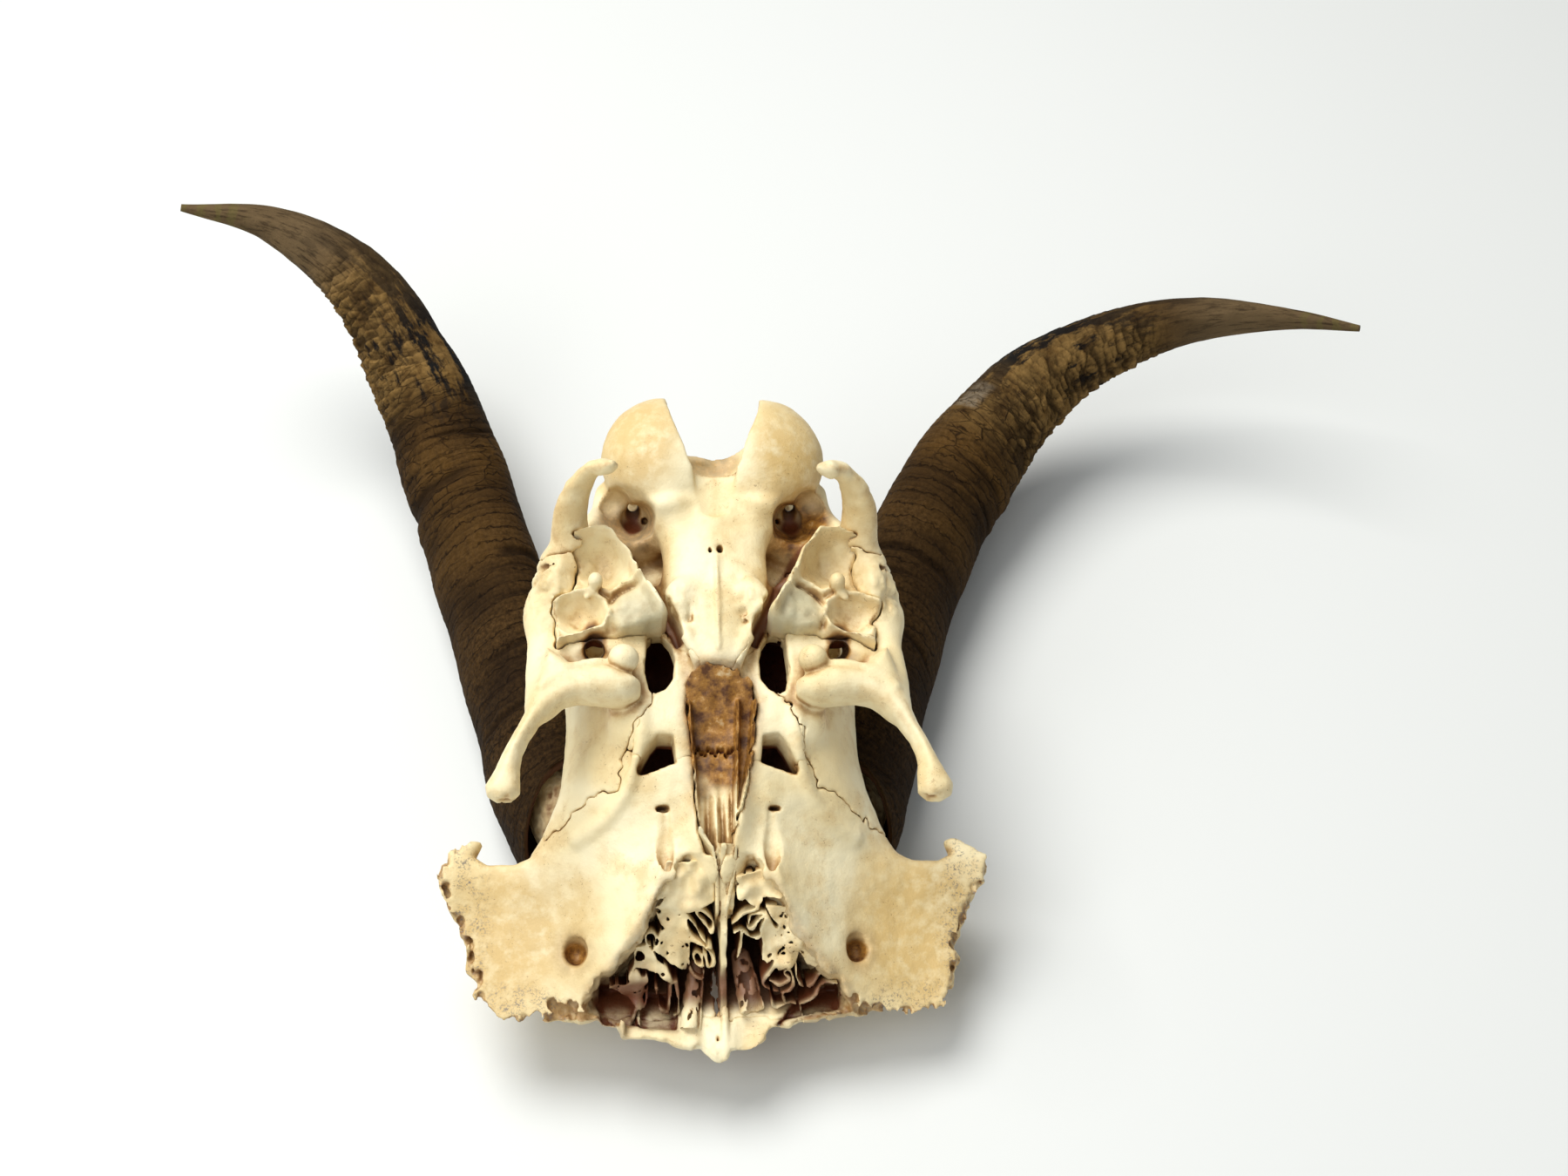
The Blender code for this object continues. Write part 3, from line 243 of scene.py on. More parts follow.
def curve_through(points, count):
    """Count points, evenly spaced along a smooth curve through the given ones."""
    points = np.asarray(points, float)
    along = np.concatenate([[0], np.cumsum(np.linalg.norm(np.diff(points, axis=0), axis=1))])
    fine = through(np.linspace(0, along[-1], 40 * len(points)), along, points)
    length = np.concatenate([[0], np.cumsum(np.linalg.norm(np.diff(fine, axis=0), axis=1))])
    even = np.linspace(0, length[-1], count)
    return np.stack([np.interp(even, length, fine[:, k]) for k in range(points.shape[1])], 1)


def smooth_min(a, b, blend):
    """The lesser of two fields, rounded over a width where they cross."""
    if blend <= 0:
        return np.minimum(a, b)
    h = np.clip(0.5 + 0.5 * (b - a) / blend, 0, 1)
    return b + (a - b) * h - blend * h * (1 - h)


def smooth_max(a, b, blend):
    """The greater of two fields, rounded in the same way."""
    return -smooth_min(-a, -b, blend)


def step_between(value, low, high):
    """Rises smoothly from 0 at low to 1 at high."""
    t = np.clip((value - low) / (high - low), 0, 1)
    return t * t * (3 - 2 * t)


def fade(value, low, high):
    """Falls smoothly from 1 at low to 0 at high."""
    return 1 - step_between(value, low, high)


def lattice_value(i, j, k, seed):
    """A repeatable number from -1 to 1 for each corner of an endless lattice."""
    n = (i * 374761393 + j * 668265263 + k * 2147483647 + seed * 974634777).astype(np.uint32)
    n = (n ^ (n >> 13)) * np.uint32(1274126177)
    n = n ^ (n >> 16)
    return (n & 0xFFFF).astype(np.float32) / 32767.5 - 1


def corner_weights(f):
    """Each corner of a cell, as an offset of 0 or 1 along each axis, with the share it has at f."""
    for corner in range(8):
        bit = [(corner >> k) & 1 for k in range(3)]
        weight = 1
        for k in range(3):
            weight = weight * (f[..., k] if bit[k] else 1 - f[..., k])
        yield bit, weight


def grain(points, size, seed=SEED):
    """Soft noise at points: lattice values size apart, blended by smooth steps in each direction."""
    q = np.asarray(points) / size
    cell = np.floor(q).astype(np.int64)
    f = (q - cell).astype(np.float32)
    f = f * f * (3 - 2 * f)
    total = 0
    for bit, weight in corner_weights(f):
        total = total + weight * lattice_value(*(cell[..., k] + bit[k] for k in range(3)), seed)
    return total


def cloud(x, y, z, size, seed=SEED):
    """The same noise on a whole grid, from one lattice and a blend along each axis in turn."""
    blends = []
    first = []
    for axis in (x, y, z):
        q = axis.ravel() / size
        low = int(np.floor(q[0]))
        cell = np.floor(q).astype(int)
        f = q - cell
        f = f * f * (3 - 2 * f)
        blend = np.zeros((len(q), cell[-1] - low + 2), np.float32)
        rows = np.arange(len(q))
        blend[rows, cell - low] = 1 - f
        blend[rows, cell - low + 1] = f
        blends.append(blend)
        first.append(low)
    i, j, k = np.ix_(*(np.arange(b.shape[1]) + low for b, low in zip(blends, first)))
    corners = lattice_value(i, j, k, seed)
    out = np.tensordot(blends[0], corners, (1, 0))
    out = np.tensordot(out, blends[1], (1, 1))
    return np.tensordot(out, blends[2], (1, 1))


# The block of samples and its shapes

class Clay:
    """Sample points in a block, each holding its distance to the surface, negative inside."""

    def __init__(self, low, high, step):
        self.low = np.asarray(low, float)
        self.step = step
        self.axes = [np.arange(a, b + step, step, dtype=np.float32) for a, b in zip(low, high)]
        self.d = np.full([len(axis) for axis in self.axes], FAR, np.float32)

    def grid(self):
        """The three axes as arrays that broadcast together."""
        x, y, z = self.axes
        return x[:, None, None], y[None, :, None], z[None, None, :]

    def window(self, low, high):
        """The samples inside a box, as slices and as three arrays that broadcast together."""
        cut = []
        for axis, a, b in zip(self.axes, low, high):
            cut.append(slice(*np.searchsorted(axis, (a, b))))
        x, y, z = (axis[part] for axis, part in zip(self.axes, cut))
        return tuple(cut), (x[:, None, None], y[None, :, None], z[None, None, :])

    def around(self, shape, blend):
        """The samples that a shape can reach, and its distance at each."""
        distance, low, high = shape
        reach = blend + 2 * self.step
        cut, xyz = self.window(np.asarray(low) - reach, np.asarray(high) + reach)
        if min(part.stop - part.start for part in cut) <= 0:
            return cut, None
        return cut, distance(*xyz)

    def add(self, shape, blend=2.0):
        """Joins a shape on, rounded where it meets what is there."""
        cut, d = self.around(shape, blend)
        if d is not None:
            self.d[cut] = smooth_min(self.d[cut], d, blend)

    def cut(self, shape, blend=1.0):
        """Takes a shape away, its edge rounded."""
        cut, d = self.around(shape, blend)
        if d is not None:
            self.d[cut] = smooth_max(self.d[cut], -d, blend)

    def mirrored(self):
        """The whole block, this half on its right and its mirror image on its left."""
        whole = Clay.__new__(Clay)
        whole.step = self.step
        whole.d = np.concatenate([self.d[:0:-1], self.d])
        whole.axes = [np.concatenate([-self.axes[0][:0:-1], self.axes[0]]), self.axes[1], self.axes[2]]
        whole.low = np.array([axis[0] for axis in whole.axes], float)
        return whole

    def at(self, points):
        """The field at points, blended between the eight samples round each."""
        q = (points - self.low) / self.step
        top = np.array(self.d.shape) - 2
        cell = np.clip(np.floor(q).astype(int), 0, top)
        f = np.clip(q - cell, 0, 1)
        total = 0
        for bit, weight in corner_weights(f):
            total = total + weight * self.d[tuple(cell[:, k] + bit[k] for k in range(3))]
        return total

    def surface(self, d=None):
        """The zero level as points in mm and corner indices, sampled wider when it has too many faces."""
        d = self.d if d is None else d
        step = self.step
        while True:
            reach = 3 * step
            grid = openvdb.FloatGrid(reach)
            grid.gridClass = openvdb.GridClass.LEVEL_SET
            grid.copyFromArray(np.ascontiguousarray(np.clip(d, -reach, reach), np.float32))
            points, triangles, quads = grid.convertToPolygons(isovalue=0.0, adaptivity=0.0)
            count = len(triangles) + 2 * len(quads)
            if count < MOST_TRIANGLES:
                return points * step + self.low, triangles[:, ::-1], quads[:, ::-1]
            wider = 1.01 * math.sqrt(count / MOST_TRIANGLES)
            for axis in range(3):
                at = np.arange(0, d.shape[axis] - 1, wider)
                cell = at.astype(int)
                share = (at - cell).astype(np.float32).reshape([-1 if k == axis else 1 for k in range(3)])
                d = np.take(d, cell, axis) * (1 - share) + np.take(d, cell + 1, axis) * share
            step = step * wider


def ball(centre, radii, turn=(0.0, 0.0, 0.0)):
    """An ellipsoid, turned by three angles in degrees about x, y and z."""
    centre = np.asarray(centre, float)
    radii = np.asarray(radii, float)
    spin = np.array(
        Matrix.Rotation(math.radians(turn[2]), 3, "Z")
        @ Matrix.Rotation(math.radians(turn[1]), 3, "Y")
        @ Matrix.Rotation(math.radians(turn[0]), 3, "X")
    )

    def distance(x, y, z):
        p = [x - centre[0], y - centre[1], z - centre[2]]
        local = [sum(spin[j][i] * p[j] for j in range(3)) for i in range(3)]
        near = np.sqrt(sum((q / r) ** 2 for q, r in zip(local, radii)))
        slope = np.sqrt(sum((q / r ** 2) ** 2 for q, r in zip(local, radii)))
        return near * (near - 1) / np.maximum(slope, 1e-6)

    half = np.sqrt(((spin * radii) ** 2).sum(1))
    return distance, centre - half, centre + half


def limb(points, radii, flat=1.0, axis=(0.0, 0.0, 1.0), count=16):
    """A smooth tube through points, its radius following radii, pressed flat along an axis."""
    path = curve_through(points, count)
    radius = through(np.linspace(0, 1, count), np.linspace(0, 1, len(radii)), radii)
    axis = np.asarray(axis, float) / np.linalg.norm(axis)
    squeeze = 1 / flat - 1

    def stretched(p):
        along = sum(q * a for q, a in zip(p, axis))
        return [q + squeeze * along * a for q, a in zip(p, axis)]

    nodes = np.stack(stretched(path.T), 1)

    def distance(x, y, z):
        p = stretched([x, y, z])
        best = None
        for a, b, ra, rb in zip(nodes[:-1], nodes[1:], radius[:-1], radius[1:]):
            step = b - a
            t = sum((q - o) * s for q, o, s in zip(p, a, step)) / max(step @ step, 1e-9)
            t = np.clip(t, 0, 1)
            away = np.sqrt(sum((q - o - t * s) ** 2 for q, o, s in zip(p, a, step)))
            away = away - (ra + t * (rb - ra))
            best = away if best is None else np.minimum(best, away)
        return best * flat

    most = max(radii)
    return distance, path.min(0) - most, path.max(0) + most


def loft(y_at, width, middle, under, over, power=2.0, round_end=4.0):
    """A body along y: at each station its half width, mid height, and half heights each way."""
    first, last = min(y_at), max(y_at)

    def distance(x, y, z):
        w = through(y, y_at, width)
        mid = through(y, y_at, middle)
        up = through(y, y_at, under)
        down = through(y, y_at, over)
        h = np.where(z > mid, up, down)
        ring = ((np.abs(x) / w) ** power + (np.abs(z - mid) / h) ** power) ** (1 / power)
        side = (ring - 1) * np.minimum(w, h)
        return smooth_max(side, np.maximum(first - y, y - last), round_end)

    widest = max(width)
    low = (-widest, first, min(m - o for m, o in zip(middle, over)))
    high = (widest, last, max(m + u for m, u in zip(middle, under)))
    return distance, low, high


def inside_outline(x, y, outline):
    """Signed distance in the plan to a closed outline, negative inside."""
    outline = np.asarray(outline, float)
    best = np.full(np.broadcast(x, y).shape, 1e9, np.float32)
    sign = np.ones(best.shape, np.float32)
    for (ax, ay), (bx, by) in zip(outline, np.roll(outline, -1, axis=0)):
        ex, ey = bx - ax, by - ay
        wx, wy = x - ax, y - ay
        t = np.clip((wx * ex + wy * ey) / max(ex * ex + ey * ey, 1e-9), 0, 1)
        best = np.minimum(best, (wx - t * ex) ** 2 + (wy - t * ey) ** 2)
        above, below = y >= ay, y < by
        left = ex * wy > ey * wx
        flip = (above & below & left) | (~above & ~below & ~left)
        sign = np.where(flip, -sign, sign)
    return sign * np.sqrt(best)


def outline_on(x, y, outline):
    """The same for the plan of a block of samples, spread over its height."""
    return inside_outline(x[:, :, 0], y[:, :, 0], outline)[:, :, None]


def plan(x, y):
    """Points in the plan, for noise that is the same at every height."""
    return np.stack(np.broadcast_arrays(x, y, 0 * x + 0 * y), -1)


def folded(points):
    """Points of the left half moved to their mirror images on the right."""
    return np.abs(points) * (1, 0, 0) + points * (0, 1, 1)


def level(z):
    """A flat height, as the function of x and y that a sheet takes."""
    return lambda x, y: z + 0 * x + 0 * y


def sheet(outline, lower, upper, rounding=1.5, ragged=None):
    """The body between two heights inside an outline in the plan, whose edge a noise may break."""
    outline = np.asarray(outline, float)

    def distance(x, y, z):
        flat = outline_on(x, y, outline)
        if ragged is not None:
            flat = flat + ragged(x, y, z)
        slab = np.maximum(lower(x, y) - z, z - upper(x, y)) * 0.8
        return smooth_max(slab, flat, rounding)

    low = (*outline.min(0), -78.0)
    high = (*outline.max(0), 10.0)
    return distance, low, high


# Heights of the frontal bone: its outer face below, the orbit's roof above

def forehead(x, y):
    """Outer face of the skull roof: a midline profile that curves up to each side."""
    middle = through(y, (0, -10, -25, -49, -65, -80, -95, -110, -125, -139),
                     (-34, -49, -60, -69, -71, -69.5, -63, -52, -39.5, -35.5))
    curl = through(y, (-60, -80, -91, -104, -120, -139), (0.016, 0.0118, 0.0069, 0.0047, 0.0012, 0.0003))
    return middle + curl * np.abs(x) ** 2


def orbit_roof(x, y):
    """The hollow roof of the orbit, from its inner wall out to the rim."""
    inner_x = through(y, (-70, -84, -104, -119, -139), (10, 13, 16, 27, 34))
    inner_z = through(y, (-70, -84, -104, -119, -139), (-8, -12, -14, -26, -35))
    rim_x = through(y, (-70, -84, -91, -104, -120, -139), (60, 62, 67, 63, 58, 50))
    rim_z = through(y, (-70, -84, -91, -104, -120, -139), (-31, -31, -30, -34, -36, -36))
    sag = through(y, (-70, -84, -104, -119, -139), (6, 7, 7, 3, 0))
    s = np.clip((np.abs(x) - inner_x) / (rim_x - inner_x), 0, 1)
    return inner_z + (rim_z - inner_z) * s - sag * 4 * s * (1 - s)


def braincase(clay):
    """The box of the brain, wide and square behind, cut off by the flat face of the nape."""
    stations = (2, -8, -20, -40, -55, -70, -85, -100)
    width = (27, 33, 36.5, 37, 36.5, BRAINCASE_HALF_WIDTH, 42, 45)
    middle = (-36, -38, -38, -37, -36, -36, -38, -42)
    under = (12, 18, 25, 30, 31, 31, 25, 12)
    over = (12, 17, 22, 29, 33, 34, 31, 20)
    clay.add(loft(stations, width, middle, under, over, 2.2, 8.0))
    clay.add(loft((22, 8, -4, -16), (17, 23, 28, 33), (-27, -30, -35, -38), (13, 14, 16, 16),
                  (10, 13, 16, 18), 2.4, 3.0), 5.0)
    cut, (x, y, z) = clay.window((-FAR, -20, -FAR * 2), (FAR * 2, FAR, FAR))
    clay.d[cut] = smooth_max(clay.d[cut], 0.78 * (y - 17) - 0.625 * (z + 20), 3.0)


def brain_hollow(clay):
    """The hollow that held the brain, seen dark through the holes of the base."""
    clay.cut(loft((-30, -40, -60, -76, -86), (22, 31, 31, 28, 16), (-34, -36, -36, -38, -40),
                  (19, 25, 25, 18, 8), (12, 14, 14, 11, 7), 2.2, 6.0), 1.0)


def skull_base(clay):
    """The bar of bone from the condyles forward, with its two pairs of tubercles and middle ridge."""
    clay.add(loft((3, -8.7, -17, -28, -35, -42, -52, -60), (12, 16.2, 13.2, 12.8, 11.0, 8.4, 6.0, 6),
                  (-6, -6, -6, -6, -6, -6, -7, -8), (6.3, 8.4, 8.2, 8.4, 9.4, 8.5, 8, 7),
                  (8, 8, 8, 8, 8, 8, 8, 8), 2.6, 2.0), 3.0)
    clay.add(ball((9.0, -33.6, 1.4), (3.9, 5.8, 3.0), (0, 0, 20)), 2.0)
    clay.add(limb([(16.2, -6.4, -1.5), (13.6, -8.2, 1.6), (9.6, -8.0, 2.2), (5.5, -7.2, 1.4)],
                  (1.7, 1.8, 1.5, 1.1)), 1.4)
    clay.add(limb([(0, -22.5, 2.2), (0, -36, 3.7), (0, -47, 2.2)], (0.5, 0.6, 0.4)), 1.0)
    clay.add(limb([(10.8, -36, 0.4), (7.4, -43, 0.6), (4.2, -50, -1.2), (1.5, -54, -3)],
                  (2.2, 1.8, 1.3, 1.0)), 2.0)
    clay.add(loft((-50, -60, -75, -92, -100), (8, 9.5, 8.5, 7.5, 5), (-12, -12, -13, -17, -21),
                  (8, 8, 8, 8, 7), (8, 8, 8, 8, 8), 2.4, 2.0), 3.0)
    clay.add(ball((14, -61, -9), (12, 9, 6)), 4.0)
    clay.cut(ball((7.0, -14.0, 6.6), (4.6, 9, 4.0), (0, 0, 12)), 3.0)


NOTCH_OUTLINE = (
    (-1, 0.5), (5.2, 0.6), (6.3, 1.6), (7.9, 6.9), (10.2, 12.9), (11.6, 18.5), (12.6, 30), (-1, 30),
)
LANDING_OUTLINE = ((-1, -12), (3.0, -11), (4.4, -7), (5.2, -2), (5.6, 1.2), (-1, 1.2))
FOSSA_OUTLINE = (
    (28.4, -0.4), (24.5, -1.4), (20.5, -3.6), (17.2, -6.0), (15.0, -9.0), (14.8, -12.2), (20.4, -15.6),
    (30.4, -12.0), (30.6, -4.5),
)


def condyles(clay):
    """A dome on each side of the great foramen, drawn forward into a neck, with a deep hollow beside it."""
    clay.add(ball((11.6, 7.4, -5.5), (16.4, 16.8, 13.4), (0, 0, -8)), 1.5)
    clay.add(limb([(14.0, 6, -4.5), (12.0, -1, -3.0), (11.0, -7, -2.4)], (9.6, 6.4, 5.0)), 3.0)
    clay.add(limb([(14, -6, -14), (24, -10, -16), (34, -18, -10)], (8, 8.5, 7)), 4.0)

    def floor(x, y):
        return -6.5 - 9 * np.exp(-((x - 20.5) ** 2 + (y + 7) ** 2) / 36)

    clay.add(limb([(26.6, 2, -13), (27.4, -4, -12), (30, -11, -9.5), (35, -17, -8)], (3.0, 3.2, 3.4, 4)), 2.5)
    clay.cut(sheet(FOSSA_OUTLINE, floor, level(12), 1.8), 0.9)
    clay.cut(sheet(LANDING_OUTLINE, lambda x, y: 0.3 + 0.06 * x ** 2 - 0.1 * y, level(20), 1.0), 0.8)
    clay.cut(ball((30.0, -6.0, 2.5), (3.6, 5.2, 9.0), (0, 10, -28)), 1.2)
    clay.cut(limb([(24.5, -6.8, 0), (24.6, -3.2, -8.5)], (4.4, 3.8)), 0.6)
    clay.cut(limb([(18.8, -11, 0), (19.2, -7, -9), (19.6, -4.5, -14)], (4.2, 4.3, 3.4)), 0.6)
    clay.cut(limb([(20.0, -2.5, -11), (20.0, 3.0, -21)], (1.3, 1.2)), 0.4)
    clay.cut(limb([(17.0, -6.0, -12), (16.8, -3.0, -18)], (0.9, 0.8)), 0.4)


FORAMEN_LIP = ((-11, 12, -21.5), (-5, 15.6, -20.6), (-0.5, 15.2, -20.4), (2, 12.8, -21.4), (6, 14.8, -20.6),
               (12, 12, -21.5))


def great_foramen(clay):
    """The channel for the spinal cord, open above as a straight-lipped notch between the condyles."""
    clay.cut(loft((-FORAMEN_DEPTH, -3, 10, 20, 32), (8, 8.0, 9.6, 11.5, 13), (FORAMEN_CENTRE_Z - 0.5,) * 5,
                  (7, 8.0, 9.4, 11, 12), (7, 9.5, 10.2, 10.6, 11), 2.3, 0.5), 0.35)
    clay.cut(sheet(NOTCH_OUTLINE, level(FORAMEN_CENTRE_Z), level(20), 0.5), 0.35)


def jugular_process(clay):
    """The hooked blade of bone beside each condyle, curling inwards at its flattened, knobbly tip."""
    clay.add(limb([(35.8, -22, -6), (35.6, -16.8, -1), (35.5, -12.4, 4.5), (34.0, -8.9, 10),
                   (31.2, -6.8, 14.8), (28.4, -6.5, 17.8), (26.6, -7.6, 19.0)],
                  (6.4, 5.5, 4.7, 4.3, 3.8, 3.3, 2.9), 0.58, (0.4, 1, 0.1)), 3.0)


SLIT_BESIDE_BASE = (
    (22.5, -14.5), (19.2, -17.0), (16.2, -22.5), (14.2, -28.5), (12.2, -33.5), (9.6, -38.5), (8.2, -43.0),
    (9.8, -44.0), (11.4, -39.4), (13.8, -34.4), (16.0, -29.0), (18.4, -23.5), (20.8, -18.6), (24, -15.8),
)
MASTOID_CRACK = (
    (42.5, -17.0, -1.5), (39, -16.8, -1.0), (36.6, -18.4, -0.5), (35.0, -21.4, -1.0), (34.6, -26, -1.5),
)


def ear_region(clay):
    """The mastoid knob, the ridge from it to the jaw joint, and the floor under the ear drum bone."""
    clay.add(ball((39, -27.5, -9.5), (5.6, 10.5, 11.5)), 4.0)
    clay.add(ball((42.4, -34, -8.5), (3.4, 5, 5)), 3.0)
    clay.add(limb([(40.8, -32, -10), (42, -42, -7), (42.6, -52, -3.5), (42.4, -60, -1.5)],
                  (4.2, 3.4, 3.4, 3.6)), 6.0)
    clay.add(ball((27, -32, -9), (13, 13, 8)), 4.0)
    clay.add(ball((28, -45, -9), (15, 8, 7)), 4.0)
    clay.add(ball((16, -50, -10), (11, 10, 7)), 4.0)
    clay.cut(sheet(SLIT_BESIDE_BASE, level(-9), level(10), 0.8), 0.5)
    clay.cut(limb(MASTOID_CRACK, (0.3, 0.9, 1.1, 0.9, 0.4)), 0.5)
    clay.cut(limb([(47, -25.5, -10), (42.4, -24.2, -2), (38.4, -24.8, 1), (35, -24, 0)],
                  (0.7, 0.6, 0.7, 0.5)), 0.5)


ARM_OUTLINE = (
    (41.0, -46), (43.4, -54), (44.9, -60), (47.6, -66.7), (50.5, -72.3), (53.1, -78.0), (55.0, -81.3),
    (54.4, -84.0), (51.5, -85.6), (48.4, -85.4), (46.3, -83.2), (46.3, -80.5), (46.6, -77.0), (46.2, -73.5),
    (44.8, -70.0), (42.3, -66.0), (39.6, -63.0), (36.4, -60.7), (33.2, -59.4), (29.0, -58.9), (25.5, -59.3),
    (22.5, -59.2), (20.2, -57.6), (19.4, -55.6), (22.4, -53.9), (24.8, -52.4), (29.3, -51.8), (34.0, -52.2),
    (37, -49),
)
OVAL_OUTLINE = (
    (16.8, -40.6), (15.4, -39.0), (13.4, -39.2), (11.2, -42.6), (10.2, -47), (10.6, -52.4), (12.6, -55.4),
    (15.0, -56.6), (16.6, -55.8), (17.6, -51),
)
ROUND_HOLE_OUTLINE = (
    (14.4, -66.4), (10.8, -66.8), (10.2, -70), (10.0, -73.0), (19.0, -75.0), (19.4, -73.8), (17.4, -70.5),
    (16.0, -68.2),
)


def jaw_joint(clay):
    """The smooth cross bar for the lower jaw, its knob behind, and the ribbon of bone in front of it."""
    def top(x, y):
        return 4.6 + through(x, (18, 26, 36, 44, 50, 56), (-0.4, 0.9, 0.4, -0.6, -0.2, -0.8)) + 0 * y

    def bottom(x, y):
        return through(x, (18, 30, 40, 46, 56), (-8, -7, -5.0, -3.4, -3.0)) + 0 * y

    clay.add(sheet(ARM_OUTLINE, bottom, top, 3.6), 2.2)
    clay.add(ball((27.0, -56.8, -0.2), (8.0, 3.6, 4.8), (0, 0, 4)), 3.0)
    clay.add(ball((22.6, -50.2, 3.4), (3.5, 3.3, 3.6)), 1.0)
    clay.add(limb([(23.1, -51, 0.5), (23.6, -56, 0)], (2.0, 2.6)), 1.5)
    clay.add(limb([(22.5, -53, 1.8), (27.4, -51.2, 3.0), (31.8, -51.6, 3.6), (37.0, -53.6, 3.6),
                   (41.8, -57.4, 3.2)], (0.8, 0.9, 0.9, 1.0, 1.2)), 1.2)
    clay.cut(limb([(29.6, -46.9, 3), (29.6, -45.6, -3), (29.4, -38, -19)], (2.6, 2.3, 2.6)), 0.5)
    clay.cut(limb([(26, -48.2, -1.6), (30, -47.2, -1.8), (35, -47.6, -0.6)], (1.6, 2.0, 1.4)), 1.2)
    clay.cut(limb([(19.2, -44.5, -1.4), (18.9, -50, -1.0), (18.6, -56, -1.8)], (0.9, 1.5, 1.0)), 1.0)


def base_holes(clay):
    """The oval hole, the hole behind the orbit with its crest, and the small ones further forward."""
    clay.add(limb([(18.6, -61, -5), (18.3, -66, -4.6), (18.9, -70, -6.0), (20.4, -75, -9.5),
                   (22.6, -79.5, -13), (27, -83.5, -17.5), (33.5, -86.5, -23)],
                  (1.8, 1.6, 1.4, 1.3, 1.2, 1.3, 1.6)), 2.0)
    clay.cut(sheet(OVAL_OUTLINE, level(-30), level(10), 1.0), 0.8)
    clay.cut(sheet(ROUND_HOLE_OUTLINE, level(-40), level(10), 1.0), 0.6)
    clay.cut(ball((13.4, -82.6, -11), (1.7, 0.6, 4)), 0.3)
    clay.cut(limb([(12.6, -83.5, -11.2), (12.5, -87, -12.4), (12.3, -92, -13.6)], (0.9, 0.7, 0.6)), 0.5)
    clay.cut(limb([(13.6, -83, -9.4), (13.2, -90, -12), (12.4, -97, -14)], (1.2, 2.0, 1.2)), 1.2)
    clay.cut(ball((33.8, -112.2, -30.6), (2.6, 3.0, 4.4)), 0.5)
    clay.cut(ball((33.8, -112.2, -29.6), (3.4, 3.6, 2.6)), 1.2)


FRONTAL_OUTLINE = (
    (0, -66), (30, -68), (38, -78), (42, -84.5), (45.2, -87.8), (49, -89.0), (55.4, -89.0), (58.4, -87.4),
    (56.4, -84.0), (57.0, -82.6), (61, -82.0), (66.4, -83.6), (69.4, -88), (69, -94), (66.5, -99.5),
    (64, -104.5), (61.5, -109.5), (61, -116), (59.8, -121), (57, -126), (51, -128.8), (41, -129.4),
    (29, -129), (24, -129.5), (24, -132.6), (15, -132.6), (8, -135.5), (4, -136.6), SNOUT_TIP, (-4, -139),
    (-4, -66),
)
CAVITY_OUTLINE = (
    (-6, -91), (5, -91), (10, -96.5), (15, -105), (21, -114), (30.5, -121.5), (31, -126.2), (22, -128.5),
    (22, -145), (-6, -145),
)


def frontal_bones(clay):
    """The forehead and orbit roofs, hollowed in front into the nasal cavity and frontal sinus."""
    clay.add(sheet(FRONTAL_OUTLINE, forehead, orbit_roof, 2.5), 4.0)
    clay.cut(sheet(CAVITY_OUTLINE, lambda x, y: forehead(x, y) + 3.0, level(20), 1.0,
                   lambda x, y, z: 1.2 * cloud(x, y, z, 2.6, SEED + 24)
                   + 0.6 * cloud(x, y, z, 1.1, SEED + 31)), 0.3)


def horn_cores(clay):
    """The bone core inside the first stretch of each horn."""
    clay.add(limb(((27, -78, -50), (34.0, -71, -56.0), (39.5, -60.5, -60), (43.0, -50.0, -63)),
                  (11.0, 14.0, 12.5, 8.0), 0.62, (1.0, 0.15, -0.3)), 3.0)


# Broken rims of the orbits: one outline for each side, and pits where the spongy bone shows

RIM_RIGHT = (
    (0, -60), (44, -60), (44.6, -86.6), (48.9, -88.2), (55.5, -88.4), (58.0, -86.9), (56.8, -84.2),
    (61, -83.0), (66.0, -84.2), (68.6, -87.7), (68.4, -91), (65.9, -95), (63.0, -100), (61.4, -105),
    (59.3, -109.5), (60.2, -113.4), (58.2, -119.6), (56.0, -124.6), (51.6, -127.0), (47.3, -127.4),
    (41.2, -127.2), (36.1, -126.6), (29.7, -127.0), (21.0, -128.6), (13.5, -129.6), (11.9, -131.2),
    (10.9, -132.8), (9.8, -134.0), (7.6, -134.9), (5.6, -135.4), (3.3, -135.5), (2.9, -137.1), (2.2, -138.6),
    (0, -138.6),
)
RIM_LEFT = (
    (0, -60), (44, -60), (45.2, -88.2), (49.1, -89.4), (55.2, -89.4), (57.3, -87.8), (55.6, -85.2),
    (56.8, -83.4), (60.6, -83.6), (65.6, -86.6), (67.2, -91.8), (65.3, -98.9), (62.4, -104.0), (59.6, -110.2),
    (60.0, -114.5), (57.2, -117.2), (58.6, -120.1), (55.9, -125), (51.4, -128.0), (46.1, -128),
    (41.1, -128.4), (28.5, -127.9), (26.0, -129.4), (23.6, -130.2), (22.8, -132.0), (19.5, -132.2),
    (13.8, -132.4), (10.2, -133.9), (6.2, -134.4), (4.1, -133.9), (2.1, -135.6), (0.4, -137.6), (0, -138.6),
)
ORBIT_MIDDLE = np.array([46.0, -106.0])
SPONGY_STRETCH = slice(8, 23)
PITS_EACH_SIDE = 170
FRONT_PITS_EACH_SIDE = 110


